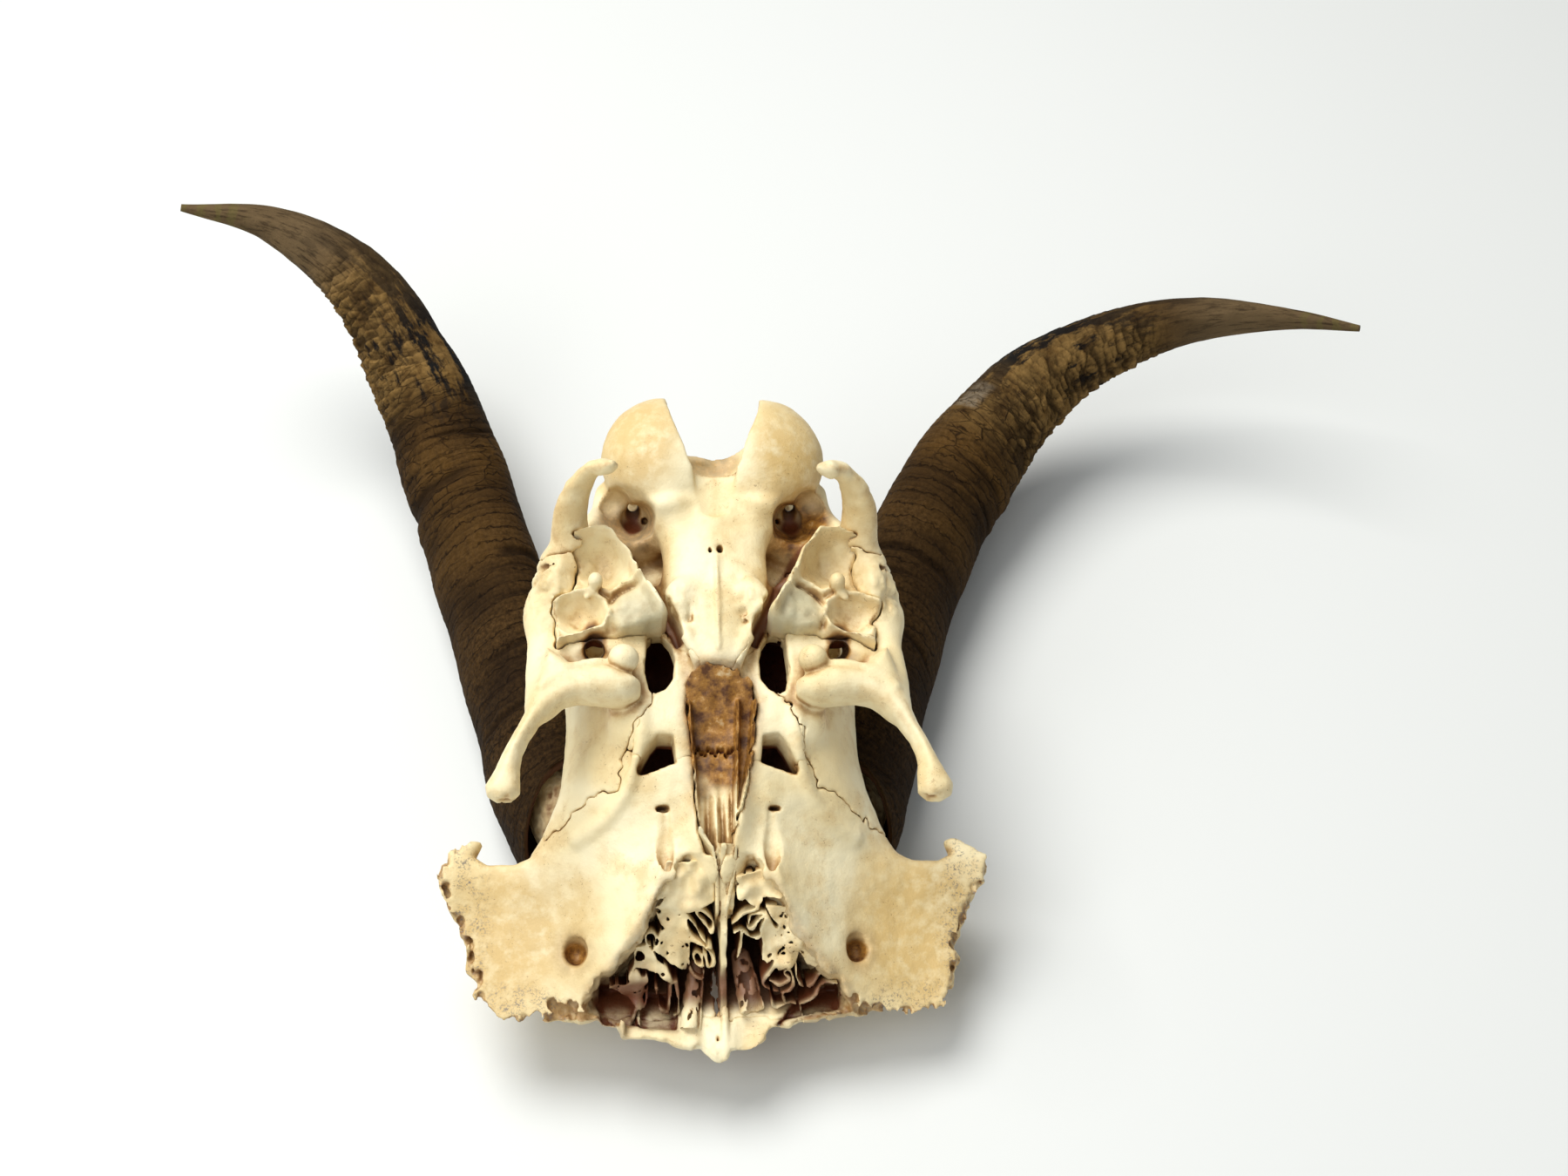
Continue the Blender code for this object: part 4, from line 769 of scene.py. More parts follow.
def broken_rims(clay):
    """Trims each orbit roof to its own jagged outline, and pits the spongy rims with small hollows."""
    cut, (x, y, z) = clay.window((-80, -150, -70), (80, -80, -18))
    jag = cloud(x, y, z, 1.7, SEED + 8) * 0.75 + cloud(x, y, z, 4.5, SEED + 9) * 0.7
    side = np.abs(x)
    raw = step_between(side + 0 * y, 52, 60) * step_between(-y + 0 * x, 88, 95)
    raw = np.maximum(raw, step_between(-y + 0 * x, 120, 126))
    flat = np.where(x > 0, outline_on(side, y, RIM_RIGHT), outline_on(side, y, RIM_LEFT))
    clay.d[cut] = smooth_max(clay.d[cut], flat + jag * (0.12 + 0.88 * raw), 0.8)
    rng = np.random.default_rng(SEED)
    for flip, rim in ((1, RIM_RIGHT), (-1, RIM_LEFT)):
        rim = np.array(rim[SPONGY_STRETCH], float)
        for _ in range(PITS_EACH_SIDE):
            i = rng.integers(len(rim) - 1)
            a = rim[i] + (rim[i + 1] - rim[i]) * rng.random()
            inward = abs(rng.normal(0, 1.0))
            a = a + (ORBIT_MIDDLE - a) / np.linalg.norm(ORBIT_MIDDLE - a) * inward
            height = rng.uniform(-2.4, 0.4)
            z = float(orbit_roof(np.array(a[0]), np.array(a[1]))) + height
            r = rng.uniform(0.35, 0.85)
            clay.cut(ball((flip * a[0], a[1], z), (r, r * rng.uniform(1, 1.8), r * 1.6)), 0.3)


LEFT_SINUSES = (
    ((-28, -118.2), (-21.9, -118.3), (-19.4, -122.5), (-19.1, -129.0), (-27.4, -128.2), (-28.4, -123.2)),
    ((-17.8, -120), (-9.7, -120.1), (-9.8, -130.4), (-18.3, -129.5)),
)
RIGHT_SINUS = (
    (14.6, -129.0), (18.5, -123.5), (22.2, -121.4), (27.3, -118.9), (29.6, -119.1), (29.5, -125.2),
    (20, -126.9),
)


def front_of_nose(clay):
    """Hollows the tongue of bone in front on both sides of its ridge, and opens the sinuses beside it."""
    def floor(x, y):
        return forehead(x, y) + 1.2

    for outline in (*LEFT_SINUSES, RIGHT_SINUS):
        clay.cut(sheet(outline, floor, level(10), 0.6,
                       lambda x, y, z: 0.5 * cloud(x, y, z, 1.8, SEED + 25)), 0.4)
    clay.cut(limb([(-2.8, -123.5, -32.0), (-2.9, -129, -32.4), (-2.4, -136, -32.2)], (2.4, 2.8, 2.2)), 0.6)
    clay.cut(limb([(6.4, -123.5, -30.8), (6.6, -129, -31.0), (6.8, -138, -30.6)], (3.6, 4.2, 3.6)), 0.6)
    clay.add(limb([(1.6, -122, -34.8), (1.8, -129, -34.2), (1.7, -137.2, -34.0)], (0.8, 0.8, 0.5)), 0.8)


# Wrinkled patches on the right: window, centre, radii, where the patch starts to fade, size and seed of its
# folds, and how far they rise and by how much they are scaled
WRINKLES = (
    ((30, -44, -22), (48, -14, 4), (40, -29, -8), (8, 12, 12), 0.6, 3.2, 10, 0.75, 1.3),
    ((2, -46, -6), (15, -26, 8), (8.4, -36, 2), (5.5, 8, 6), 0.5, 2.6, 20, 0.7, 0.9),
)


def side_window(clay, flip, low, high):
    """The window between two corners on the right side, or its mirror image."""
    left, right = sorted((flip * low[0], flip * high[0]))
    return clay.window((left, *low[1:]), (right, *high[1:]))


def rough_patches(clay):
    """Wrinkles the knob behind each ear and its neighbours, and opens the spongy front of the forehead."""
    for flip in (1, -1):
        for low, high, centre, radii, full, size, seed, most, height in WRINKLES:
            cut, (x, y, z) = side_window(clay, flip, low, high)
            here = (flip * centre[0], *centre[1:])
            away = sum(((q - c) / r) ** 2 for q, c, r in zip((x, y, z), here, radii))
            folds = np.abs(cloud(x, y, z, size, SEED + seed))
            folds = folds + 0.5 * np.abs(cloud(x, y, z, size / 2, SEED + seed + 1))
            clay.d[cut] += (most - folds) * height * fade(np.sqrt(away), full, 1)
        cut, xyz = side_window(clay, flip, (22, -16, 10), (38, 0, 24))
        clay.d[cut] += 0.25 * cloud(*xyz, 1.8, SEED + 22)
        cut, xyz = side_window(clay, flip, (24, -98, -68), (52, -52, -34))
        clay.d[cut] += 0.5 * np.abs(cloud(*xyz, 1.5, SEED + 26))
    rng = np.random.default_rng(SEED + 1)
    for flip in (1, -1):
        for _ in range(FRONT_PITS_EACH_SIDE):
            x = rng.uniform(24, 50)
            y = -126.6 + rng.uniform(-3.0, 3.0)
            z = float(orbit_roof(np.array(x), np.array(y))) - rng.uniform(0.2, 3.8)
            r = rng.uniform(0.4, 1.25)
            clay.cut(ball((flip * x, y, z), (r * 1.2, r * 1.4, r)), 0.4)


# The ploughshare bone and the septum

TROUGH_OUTLINE = (
    (-7.5, -58.8), (-7.7, -61.4), (-6.9, -66), (-6.2, -73.9), (-5.5, -82.2), (-4.9, -89.4), (-3.2, -94),
    (2.6, -94), (3.7, -88.9), (4.8, -85.1), (6.9, -77.3), (8.1, -70.6), (9.2, -61.4), (9.3, -58),
    (7.6, -53.2), (4.8, -50.8), (0.2, -50.4), (-4.4, -50.0), (-6.6, -51.6),
)
LEFT_LAMINA = (
    (-7.0, -58.5), (-6.6, -66), (-6.0, -73.9), (-5.3, -82.2), (-4.7, -89), (-1.6, -93.5), (-0.5, -98),
    (-0.4, -106),
)
RIGHT_LAMINA = (
    (4.9, -58), (4.6, -69), (4.3, -77), (3.8, -86.4), (3.9, -93), (3.4, -98), (1.9, -105), (1.6, -110),
)
OUTER_LAMINA = ((9.1, -58), (8.1, -70.6), (6.8, -77.3), (4.9, -85.1), (4.0, -91))


def from_curve(x, y, points):
    """Distance in the plan to a polyline, and how far along it the nearest point lies, from 0 to 1."""
    points = np.asarray(points, float)
    lengths = np.linalg.norm(np.diff(points, axis=0), axis=1)
    start = np.concatenate([[0], np.cumsum(lengths)])
    best = np.full(np.broadcast(x, y).shape, 1e9, np.float32)
    along = np.zeros(best.shape, np.float32)
    for a, b, s, length in zip(points[:-1], points[1:], start, lengths):
        t = np.clip(((x - a[0]) * (b[0] - a[0]) + (y - a[1]) * (b[1] - a[1])) / length ** 2, 0, 1)
        away = np.hypot(x - a[0] - t * (b[0] - a[0]), y - a[1] - t * (b[1] - a[1]))
        nearer = away < best
        along = np.where(nearer, (s + t * length) / start[-1], along)
        best = np.where(nearer, away, best)
    return best, along


def broken_face(y):
    """Height of the sloping face along which the snout broke off."""
    return -12 + 0.75 * (y + 95)


def trough_floor(x, y):
    """Depth of the trough below the base of the skull, deeper towards the front."""
    heights = (2.2, 0.6, -2.2, -5.0, -7.2, -9.0, -10.6, -12.4, -14.6)
    return through(y, (-46, -50, -54, -58, -62, -70, -80, -90, -96), heights) + 0 * x


def trough_height(x, y):
    """Floor of the trough, with thin walls raised along its sides and a keel in front."""
    floor = trough_floor(x, y)
    rim = through(y, (-56, -60, -70, -80, -90, -96), (0.6, 5.0, 5.6, 5.0, 3.6, 2.0))
    left, _ = from_curve(x, y, LEFT_LAMINA[:5])
    right, _ = from_curve(x, y, RIGHT_LAMINA[:5])
    outer, _ = from_curve(x, y, OUTER_LAMINA)
    h = floor + rim * np.exp(-(left / 0.5) ** 2) + 0.75 * rim * np.exp(-(right / 0.45) ** 2)
    h = h + rim * np.exp(-(outer / 0.6) ** 2)
    keel = step_between(-y, 74, 90)
    h = h + keel * (2.0 * np.exp(-((x + 0.4) / 1.0) ** 2) + 0.9 * np.cos(x * 2.1 + y * 0.05))
    crack = np.abs(y + 69.4 - 0.5 * np.sin(x * 2.3) - 0.35 * np.sin(x * 5.1 + 1))
    h = h - 2.2 * np.exp(-(crack / 0.45) ** 2) * (np.abs(x + 0.4) < 5.6)
    return h + 0.35 * grain(plan(x, y), 2.2, SEED + 12)


def vomer_field(step):
    """The stained trough, then its thin walls and the septum between the two halves of the nose."""
    clay = Clay((-13, -141, -62), (13, -46, 2), step)
    x, y, z = clay.grid()
    flat = outline_on(x, y, TROUGH_OUTLINE) + 0.8 * grain(plan(x, y), 2.6, SEED + 29)
    flat = flat + 0.5 * grain(plan(x, y), 1.2, SEED + 30)
    top = trough_height(x, y)
    floor = through(y, (-48, -60, -80, -96), (-6, -12, -15, -18))
    clay.d = np.maximum(np.maximum(floor - z, (z - top) * 0.6), flat).astype(np.float32)
    wave = cloud(clay.axes[0], clay.axes[1], clay.axes[2], 3.0, SEED + 13)
    edge = broken_face(y) + 1.2 * wave
    for curve, half, lift in ((LEFT_LAMINA[4:], 0.42, 0.9), (RIGHT_LAMINA[4:], 0.42, 0.6)):
        away, _ = from_curve(x, y, curve)
        wall = np.maximum(np.maximum(away - half, z - edge - lift), edge - 16 - z)
        clay.d = smooth_min(clay.d, wall, 0.4)
    middle = 0.8 + (-95 - y) / 40
    side = np.abs(x - middle - 0.25 * wave)
    plate = side - 0.75 + 0.3 * np.exp(-((z - edge) / 1.6) ** 2) * np.exp(-(side / 0.3) ** 2)
    plate = np.maximum(plate, z - edge)
    plate = np.maximum(plate, np.maximum(y + 92, -136.5 - y))
    plate = np.maximum(plate, forehead(x, y) + 2.2 - z)
    clay.d = smooth_min(clay.d, plate, 0.5)
    mass = np.maximum(np.abs(x - 1.6) - 1.9, np.maximum(z - edge + 0.8 + 0.6 * wave, edge - 9 - z))
    mass = np.maximum(mass, np.maximum(y + 92, -105 - y)) + 0.5 * cloud(*clay.axes, 1.5, SEED + 14)
    clay.d = smooth_min(clay.d, mass, 0.4).astype(np.float32)
    return clay


# The ear drum bones

TYMPANIC_OUTLINE = (
    (35.0, -17.2), (30, -15.2), (25.4, -15.4), (21.0, -21), (19.0, -27), (15.6, -32.5), (12.4, -37.6),
    (13.4, -39.6), (18.6, -40.6), (26, -42.4), (33, -42.6), (38.4, -44.8), (39.0, -41.4), (38.6, -38),
    (40.4, -33.6), (35.6, -31.4), (33.6, -28), (34.0, -22), (35.6, -19),
)
CREST = (
    (34.6, -16.9), (30.0, -15.9), (25.6, -16.2), (21.4, -21.5), (19.2, -27.3), (16.0, -33.1), (12.4, -39.6),
)
CROSS_RIDGE = ((30.6, -30.2), (28.2, -30.4), (25.8, -31.6), (23.2, -29.6), (20.6, -29.2), (18.2, -28.2))
FUNNEL_RIM = (
    (39.6, -33.6), (35.4, -31.8), (31.0, -31.6), (27.0, -33.8), (26.2, -38.0), (27.4, -40.6), (32.0, -42.0),
    (38.0, -44.2),
)


def drum_height(x, y, seed):
    """Height of the ear drum bone: crest, hollow, cross ridge, bulla and the funnel of the ear passage."""
    crest, along = from_curve(x, y, CREST)
    h = -1.6 + (5.4 - 1.2 * along) * np.exp(-(crest / 1.15) ** 2) + 2.2 * np.exp(-(crest / 3.6) ** 2)
    cross, _ = from_curve(x, y, CROSS_RIDGE)
    h = h + 2.6 * np.exp(-(cross / 0.95) ** 2)
    hollow = np.exp(-(((x - 27.2) / 6.0) ** 2 + ((y + 23.3) / 5.6) ** 2) ** 1.5)
    h = h - 4.6 * hollow
    bulla = np.clip(1 - ((x - 19.0) / 7.2) ** 2 - ((y + 37.2) / 6.4) ** 2, 0, 1)
    h = h + 4.4 * np.sqrt(bulla)
    funnel, _ = from_curve(x, y, FUNNEL_RIM)
    h = h + 2.6 * np.exp(-(funnel / 0.9) ** 2)
    bowl = np.clip(1 - ((x - 33.2) / 6.4) ** 2 - ((y + 37.4) / 4.8) ** 2, 0, 1)
    h = h + 0.6 - 4.0 * bowl
    return h + 0.8 * grain(plan(x, y), 3.8, seed) + 0.4 * grain(plan(x, y), 1.6, seed + 1)


def drum_field(step, seed):
    """The ear drum bone under its height and inside its jagged outline, with its knob."""
    clay = Clay((6, -50, -16), (46, -10, 12), step)
    x, y, z = clay.grid()
    flat = outline_on(x, y, TYMPANIC_OUTLINE) + 0.55 * grain(plan(x, y), 2.0, seed + 2)
    top = drum_height(x, y, seed)
    clay.d = smooth_max(np.maximum(-9 - z, (z - top) * 0.55), flat, 1.2).astype(np.float32)
    clay.add(ball((29.4, -29.6, 2.6), (1.9, 2.1, 2.6)), 0.8)
    clay.add(limb([(29.6, -31.2, 1.5), (31.4, -33.2, 1.0)], (1.0, 0.8)), 0.8)
    return clay


# The sieve bone: thin scrolls and perforated plates, drawn on the broken face and drawn out behind it

FACE_ORIGIN = np.array([0.0, -95.0, -12.0])
FACE_ACROSS = np.array([[1.0, 0.0, 0.0], [0.0, -0.8, -0.6], [0.0, -0.6, 0.8]])
RIBBONS = (
    ((-4.8, 12.0), (-3.1, 13.3), (-1.3, 16.0), (-1.5, 18.4), (-3.4, 16.0), (-5.2, 13.1), (-4.8, 12.0)),
    ((-7.9, 13.5), (-6.0, 15.9), (-3.8, 19.5), (-1.5, 21.8), (-3.8, 20.9), (-6.8, 18.6), (-7.7, 16.4)),
    ((-6.6, 20.0), (-4.6, 20.6), (-2.9, 21.8), (-1.2, 26.3), (-1.8, 27.0), (-3.4, 22.7)),
    ((-5.9, 24.4), (-5.0, 23.3), (-4.0, 24.5), (-3.9, 26.9), (-5.2, 26.2), (-5.9, 24.4)),
    ((-17.3, 19.0), (-16.0, 18.3), (-14.8, 19.4), (-15.2, 21.0), (-16.8, 21.2), (-17.3, 19.0)),
    ((-19.3, 37.3), (-21.0, 42.2)),
    ((-14.7, 32.0), (-13.4, 37.8), (-9.9, 39.7), (-9.4, 34.3), (-10.0, 30.7)),
    ((-11.3, 31.5), (-11.7, 38.8)),
    ((-7.1, 25.3), (-5.4, 29.8), (-3.3, 30.3), (-3.3, 28.5)),
    ((-19.8, 26.9), (-21.0, 29.6), (-18.1, 32.4), (-16.8, 30.6), (-17.2, 28.4)),
    ((-25.7, 31.4), (-21.4, 35.0), (-17.8, 37.8), (-16.6, 32.2)),
    ((3.3, 16.5), (5.0, 14.3), (9.2, 12.1)),
    ((6.3, 16.5), (7.6, 17.7), (9.7, 14.8), (10.9, 13.7), (7.9, 13.9), (7.1, 16.1)),
    ((3.8, 18.7), (5.5, 17.9), (8.0, 20.1), (10.2, 19.7), (10.5, 16.1)),
    ((3.5, 24.5), (4.3, 25.5), (5.5, 21.9), (5.5, 18.3)),
    ((18.8, 26.5), (18.9, 29.7), (20.6, 32.0), (22.8, 31.6), (24.4, 29.8), (28.3, 28.5)),
    ((28.8, 31.2), (24.9, 32.0), (22.4, 35.2), (19.5, 36.5)),
    ((11.6, 29.6), (10.8, 31.4), (13.4, 33.0), (17.7, 32.4), (18.0, 29.7), (16.7, 27.9), (15.9, 28.8),
     (17.2, 30.1), (15.1, 31.5), (12.5, 30.5)),
    ((14.1, 23.8), (13.3, 27.4), (11.6, 29.6)),
    ((12.6, 33.7), (13.9, 37.3), (16.9, 36.5), (19.0, 36.0)),
    ((15.4, 33.4), (16.2, 36.4)),
    ((19.9, 37.0), (20.9, 41.5)),
)
PLATES = (
    ((-15.3, 11.9), (-11.5, 8.8), (-8.1, 13.3), (-7.4, 17.7), (-6.7, 24.4), (-7.7, 27.5), (-11.8, 25.3),
     (-15.2, 22.1), (-13.1, 17.6)),
    ((-19.4, 22.0), (-16.9, 21.6), (-12.2, 27.0), (-10.9, 30.7), (-12.6, 29.7), (-15.1, 27.9), (-19.8, 26.9)),
    ((-25.7, 31.4), (-21.9, 31.4), (-17.2, 29.2), (-17.8, 37.8), (-21.4, 35.0)),
    ((-19.4, 27.8), (-16.8, 30.6), (-18.1, 32.4), (-21.0, 29.6)),
    ((-12.0, 1.0), (-4.0, 1.0), (-1.6, 5.0), (-1.2, 10.6), (-5.2, 12.0), (-8.4, 13.4), (-12.6, 9.2),
     (-15.4, 10.5)),
    ((4.4, 4.5), (11.1, 3.3), (16.3, 8.6), (10.8, 9.9), (9.2, 11.7), (4.5, 9.4)),
    ((11.3, 11.9), (18.5, 11.8), (20.2, 13.6), (20.5, 17.1), (22.0, 18.5), (19.1, 20.7), (16.1, 21.1),
     (14.0, 19.3), (14.8, 16.6), (13.5, 15.3)),
    ((11.3, 13.5), (12.7, 16.6), (14.8, 19.8), (16.1, 21.1), (14.1, 24.2), (11.6, 26.0), (10.5, 25.1),
     (11.1, 21.9), (10.1, 17.9)),
    ((14.6, 28.3), (14.3, 25.6), (16.2, 21.6), (19.9, 19.8), (23.4, 22.5), (24.8, 25.7), (23.5, 27.7),
     (21.4, 27.0), (20.5, 24.8), (19.2, 22.9), (19.2, 25.6), (16.7, 27.4)),
)
HOLES = (
    (-15.0, 13.4, 1.3), (-18.6, 24.6, 1.2), (-16.0, 19.8, 0.8), (-6.9, 21.6, 0.8), (19.6, 24.0, 0.9),
    (22.3, 14.8, 0.9), (12.6, 24.8, 0.6),
)
FACE_GRID = ((-31, -2, -17), (31, 44, 3))


def sieve_field(step):
    """Walls follow the curves for their whole depth; plates are sheets near the top, holed like lace."""
    clay = Clay(*FACE_GRID, step)
    u, w, h = clay.axes[0][:, None], clay.axes[1][None, :], clay.axes[2][None, None, :]
    flat = plan(u, w)
    rough = grain(flat, 2.4, SEED + 15)
    top = (0.2 + 1.7 * grain(flat, 5.0, SEED + 16) + 1.1 * rough)[:, :, None]
    bend = 0.35 * grain(flat, 1.6, SEED + 17)
    walls = np.full(flat.shape[:2], 9.0, np.float32)
    for curve in RIBBONS:
        curve = curve_through([(*p, 0) for p in curve], 6 * len(curve))[:, :2]
        walls = np.minimum(walls, from_curve(u, w, curve)[0])
    for plate in PLATES:
        walls = np.minimum(walls, np.abs(inside_outline(u, w, plate)) + 0.1)
    walls = (walls + bend * 0.7 - 0.26)[:, :, None]
    clay.d = np.maximum(np.maximum(walls, h - top), -15 - h).astype(np.float32)
    sheets = np.full(flat.shape[:2], 9.0, np.float32)
    for plate in PLATES:
        sheets = np.minimum(sheets, inside_outline(u, w, plate) + bend)
    for cu, cw, r in HOLES:
        sheets = np.maximum(sheets, r - np.hypot(u - cu, w - cw))
    rng = np.random.default_rng(SEED + 2)
    for _ in range(150):
        cu, cw, r = rng.uniform(-25, 26), rng.uniform(13, 34), rng.uniform(0.22, 0.45)
        sheets = np.maximum(sheets, r - np.hypot(u - cu, w - cw))
    slab = np.maximum(sheets[:, :, None], np.abs(h - (top - 0.4)) - 0.38)
    clay.d = smooth_min(clay.d, slab.astype(np.float32), 0.3)
    return clay


def from_face(points):
    """From places on the broken face to the skull's frame."""
    return FACE_ORIGIN + points @ FACE_ACROSS


def scroll_fields(step):
    """The two rolled tubes low in the nose, thin-walled and open in front."""
    fields = []
    for path, radii, end in (
        ([(-5, -114.5, -33.5), (-5.5, -120.2, -34.6), (-6.6, -130.0, -34.6)], (1.9, 2.3, 2.6), -130.0),
        ([(5.8, -112.7, -33.5), (7.1, -118.6, -34.4), (8.4, -126.6, -33.8)], (2.2, 2.8, 3.2), -126.4),
    ):
        low = (min(p[0] for p in path) - 6, -137, -46)
        high = (max(p[0] for p in path) + 6, -106, -24)
        clay = Clay(low, high, step)
        clay.add(limb(path, radii, 0.9), 0.1)
        past = path[-1] + (np.array(path[-1]) - path[-2])
        inner = [(x, y, z + 0.3) for x, y, z in path]
        clay.cut(limb(inner + [tuple(past)], [r - 0.65 for r in radii] + [radii[-1] - 0.5], 0.9), 0.2)
        slot = [(x + 0.9 * r, y, z + 0.5 * r) for (x, y, z), r in zip(path, radii)]
        clay.cut(limb(slot, (0.3, 0.5, 0.9)), 0.2)
        wave = cloud(*clay.axes, 3.0, SEED + 18)
        clay.d = np.maximum(clay.d, (end - clay.axes[1][None, :, None]) + 1.4 * wave)
        clay.d = (clay.d + 0.25 * cloud(*clay.axes, 1.4, SEED + 19)).astype(np.float32)
        fields.append(clay)
    return fields


def skull_field(step):
    """One half of the fused skull, then the whole of it, with what differs from side to side."""
    clay = Clay(FIELD_LOW, FIELD_HIGH, step)
    braincase(clay)
    frontal_bones(clay)
    skull_base(clay)
    ear_region(clay)
    jaw_joint(clay)
    condyles(clay)
    jugular_process(clay)
    great_foramen(clay)
    brain_hollow(clay)
    base_holes(clay)
    horn_cores(clay)
    whole = clay.mirrored()
    whole.cut(sheet(TROUGH_OUTLINE, lambda x, y: trough_floor(x, y) - 1, level(10), 0.5), 1.4)
    whole.add(limb(FORAMEN_LIP, (1.6, 1.3, 1.0, 1.0, 1.3, 1.6)), 1.0)
    whole.cut(ball((0.9, -20.5, 3.0), (0.75, 1.2, 5)), 0.2)
    whole.cut(ball((-1.5, -20.9, 3.0), (0.42, 0.8, 4)), 0.2)
    front_of_nose(whole)
    broken_rims(whole)
    rough_patches(whole)
    return whole


# Where the skull is parted

NAPE_SUTURE = (
    (2.5, -52), (5, -49), (10, -43.5), (14.2, -36), (17, -28), (19.5, -19.5), (30, -19), (36.5, -21.5),
    (60, -19), (90, 60),
)
NAPE_ROOF = (
    (2.5, -17), (5, -17), (10, -17), (14.2, -16.5), (17, -16), (19.5, -15), (30, -14), (36.5, -13), (60, -8),
    (90, 60),
)
BASE_SUTURE = (
    (9, -30), (15.5, -34), (17.6, -45), (17.2, -56), (20, -66), (22.5, -71.6), (17.4, -72.2), (6, -72.2),
)
EAR_SUTURE = (
    (12, -15), (90, -15), (90, -88), (41, -84), (34, -80.5), (28.5, -77.4), (24.5, -76.8), (21.2, -71.4),
    (20.4, -66), (17.8, -61), (14.4, -55.6), (17.2, -50),
)
EAR_WALL = (
    (12, -15), (90, -15), (90, -64), (60, -64), (48, -70), (43, -83), (41, -84), (34, -80.5), (28.5, -77.4),
    (24.5, -76.8), (20.4, -66), (17.2, -50),
)
FACE_SUTURE = ((0.0, -68), (24, -68), (28, -74), (38, -78.6), (41, -79), (90, -76), (90, -170), (0.0, -170))
FACE_ROOF = ((0.0, -44), (22, -45), (33, -47), (35, -34), (90, -34), (90, -170), (0.0, -170))
NOSE_SUTURE = ((26, -127.0), (26, -170), (-26, -170), (-26, -127.0))


def mirror(outline):
    """The outline on the left side for one on the right."""
    return tuple((-x, y) for x, y in outline[::-1])


def symmetric(outline):
    """One outline over both sides, from its right half."""
    return mirror(outline) + tuple(outline)


# Each bone: the outline of its region low and high, and the heights between which one turns into the other
REGIONS = {
    "occipital": (symmetric(NAPE_ROOF), symmetric(NAPE_SUTURE), -45, -14),
    "temporal_R": (EAR_WALL, EAR_SUTURE, -8.2, -8.0),
    "temporal_L": (mirror(EAR_WALL), mirror(EAR_SUTURE), -8.2, -8.0),
    "nasal": (NOSE_SUTURE, NOSE_SUTURE, -40, 0),
    "sphenoid": (symmetric(BASE_SUTURE), symmetric(BASE_SUTURE), -40, 0),
    "frontal_R": (FACE_ROOF, FACE_SUTURE, -52, -30),
    "frontal_L": (mirror(FACE_ROOF), mirror(FACE_SUTURE), -52, -30),
}
REGION_FLOOR = {"temporal_R": -34, "temporal_L": -34, "sphenoid": -25}


def part_skull(clay, gap):
    """Parts the field into named bones: each takes what lies in its region, less half the gap."""
    x, y, z = clay.axes
    zigzag = cloud(x, y, z, 1.6, SEED + 1) * 0.9 + cloud(x, y, z, 3.5, SEED + 27) * 0.8
    zigzag = zigzag + cloud(x, y, z, 7.0, SEED + 2) * 0.8
    fields = {}
    for name, (lower, upper, z0, z1) in REGIONS.items():
        a = inside_outline(x[:, None], y[None, :], np.asarray(lower, float))[:, :, None]
        b = inside_outline(x[:, None], y[None, :], np.asarray(upper, float))[:, :, None]
        t = np.clip((z - z0) / (z1 - z0), 0, 1)[None, None, :]
        r = a + (b - a) * t + zigzag
        if name in REGION_FLOOR:
            r = np.maximum(r, REGION_FLOOR[name] - z[None, None, :])
        half = HIDDEN / 2 if name in ("sphenoid", "nasal") else gap / 2
        if name == "occipital":
            half = np.where(y < -40, HIDDEN, gap)[None, :, None] / 2
        fields[name] = np.maximum(clay.d, r + half)
        clay.d = np.maximum(clay.d, half - r)
    fields["parietal"] = clay.d
    return fields


def keep_pieces(points, triangles, quads, least=400):
    """Drops loose crumbs: corners take the lowest number of what they touch, until nothing changes."""
    label = np.arange(len(points))
    edges = np.concatenate([triangles[:, [0, 1]], triangles[:, [1, 2]], quads[:, [0, 1]], quads[:, [1, 2]],
                            quads[:, [2, 3]]]).astype(np.int64)
    while True:
        low = np.minimum(label[edges[:, 0]], label[edges[:, 1]])
        new = label.copy()
        np.minimum.at(new, edges[:, 0], low)
        np.minimum.at(new, edges[:, 1], low)
        new = new[new]
        new = new[new]
        if np.array_equal(new, label):
            break
        label = new
    count = np.bincount(label, minlength=len(points))
    keep = count[label] >= least
    number = np.cumsum(keep) - 1
    triangles = triangles[keep[triangles[:, 0]]]
    quads = quads[keep[quads[:, 0]]]
    return points[keep], number[triangles], number[quads]


# Into Blender: the field's zero level, turned and moved to where the solids lie

def resting_place():
    """The turn of the lying skull, and its origin in the world, from where the left horn's solid lies."""
    turn = np.array(
        Matrix.Rotation(math.radians(REST_TURN), 3, "Z")
        @ Matrix.Rotation(math.radians(REST_PITCH), 3, "X")
        @ Matrix.Rotation(math.radians(REST_ROLL), 3, "Y")
    )
    path = curve_through(LEFT_HORN, CAD_HORN_RINGS)
    along = np.linspace(0, 1, CAD_HORN_RINGS)
    wide = through(along, HORN_STATIONS, LEFT_HALF_WIDTHS)
    deep = through(along, HORN_STATIONS, HORN_HALF_DEPTHS)
    angle = np.linspace(0, 2 * np.pi, CAD_HORN_SIDES, endpoint=False)
    side, up = horn_frame(path)
    rings = horn_section(path, side, up, wide, deep, angle)[HORN_BASE_RING:]
    solid = rings.reshape(-1, 3) @ turn.T
    return turn, np.array(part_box("horn_sheath_L")[0]) / MM - solid.min(0)


def horn_frame(path):
    """Across and upright directions square to the path, carried along it without twist."""
    tangent = np.gradient(path, axis=0)
    tangent /= np.linalg.norm(tangent, axis=1, keepdims=True)
    side = np.array([1.0, 0.0, 0.0])
    sides = []
    for t in tangent:
        side = side - t * (side @ t)
        side = side / np.linalg.norm(side)
        sides.append(side)
    sides = np.array(sides)
    return sides, np.cross(sides, tangent)


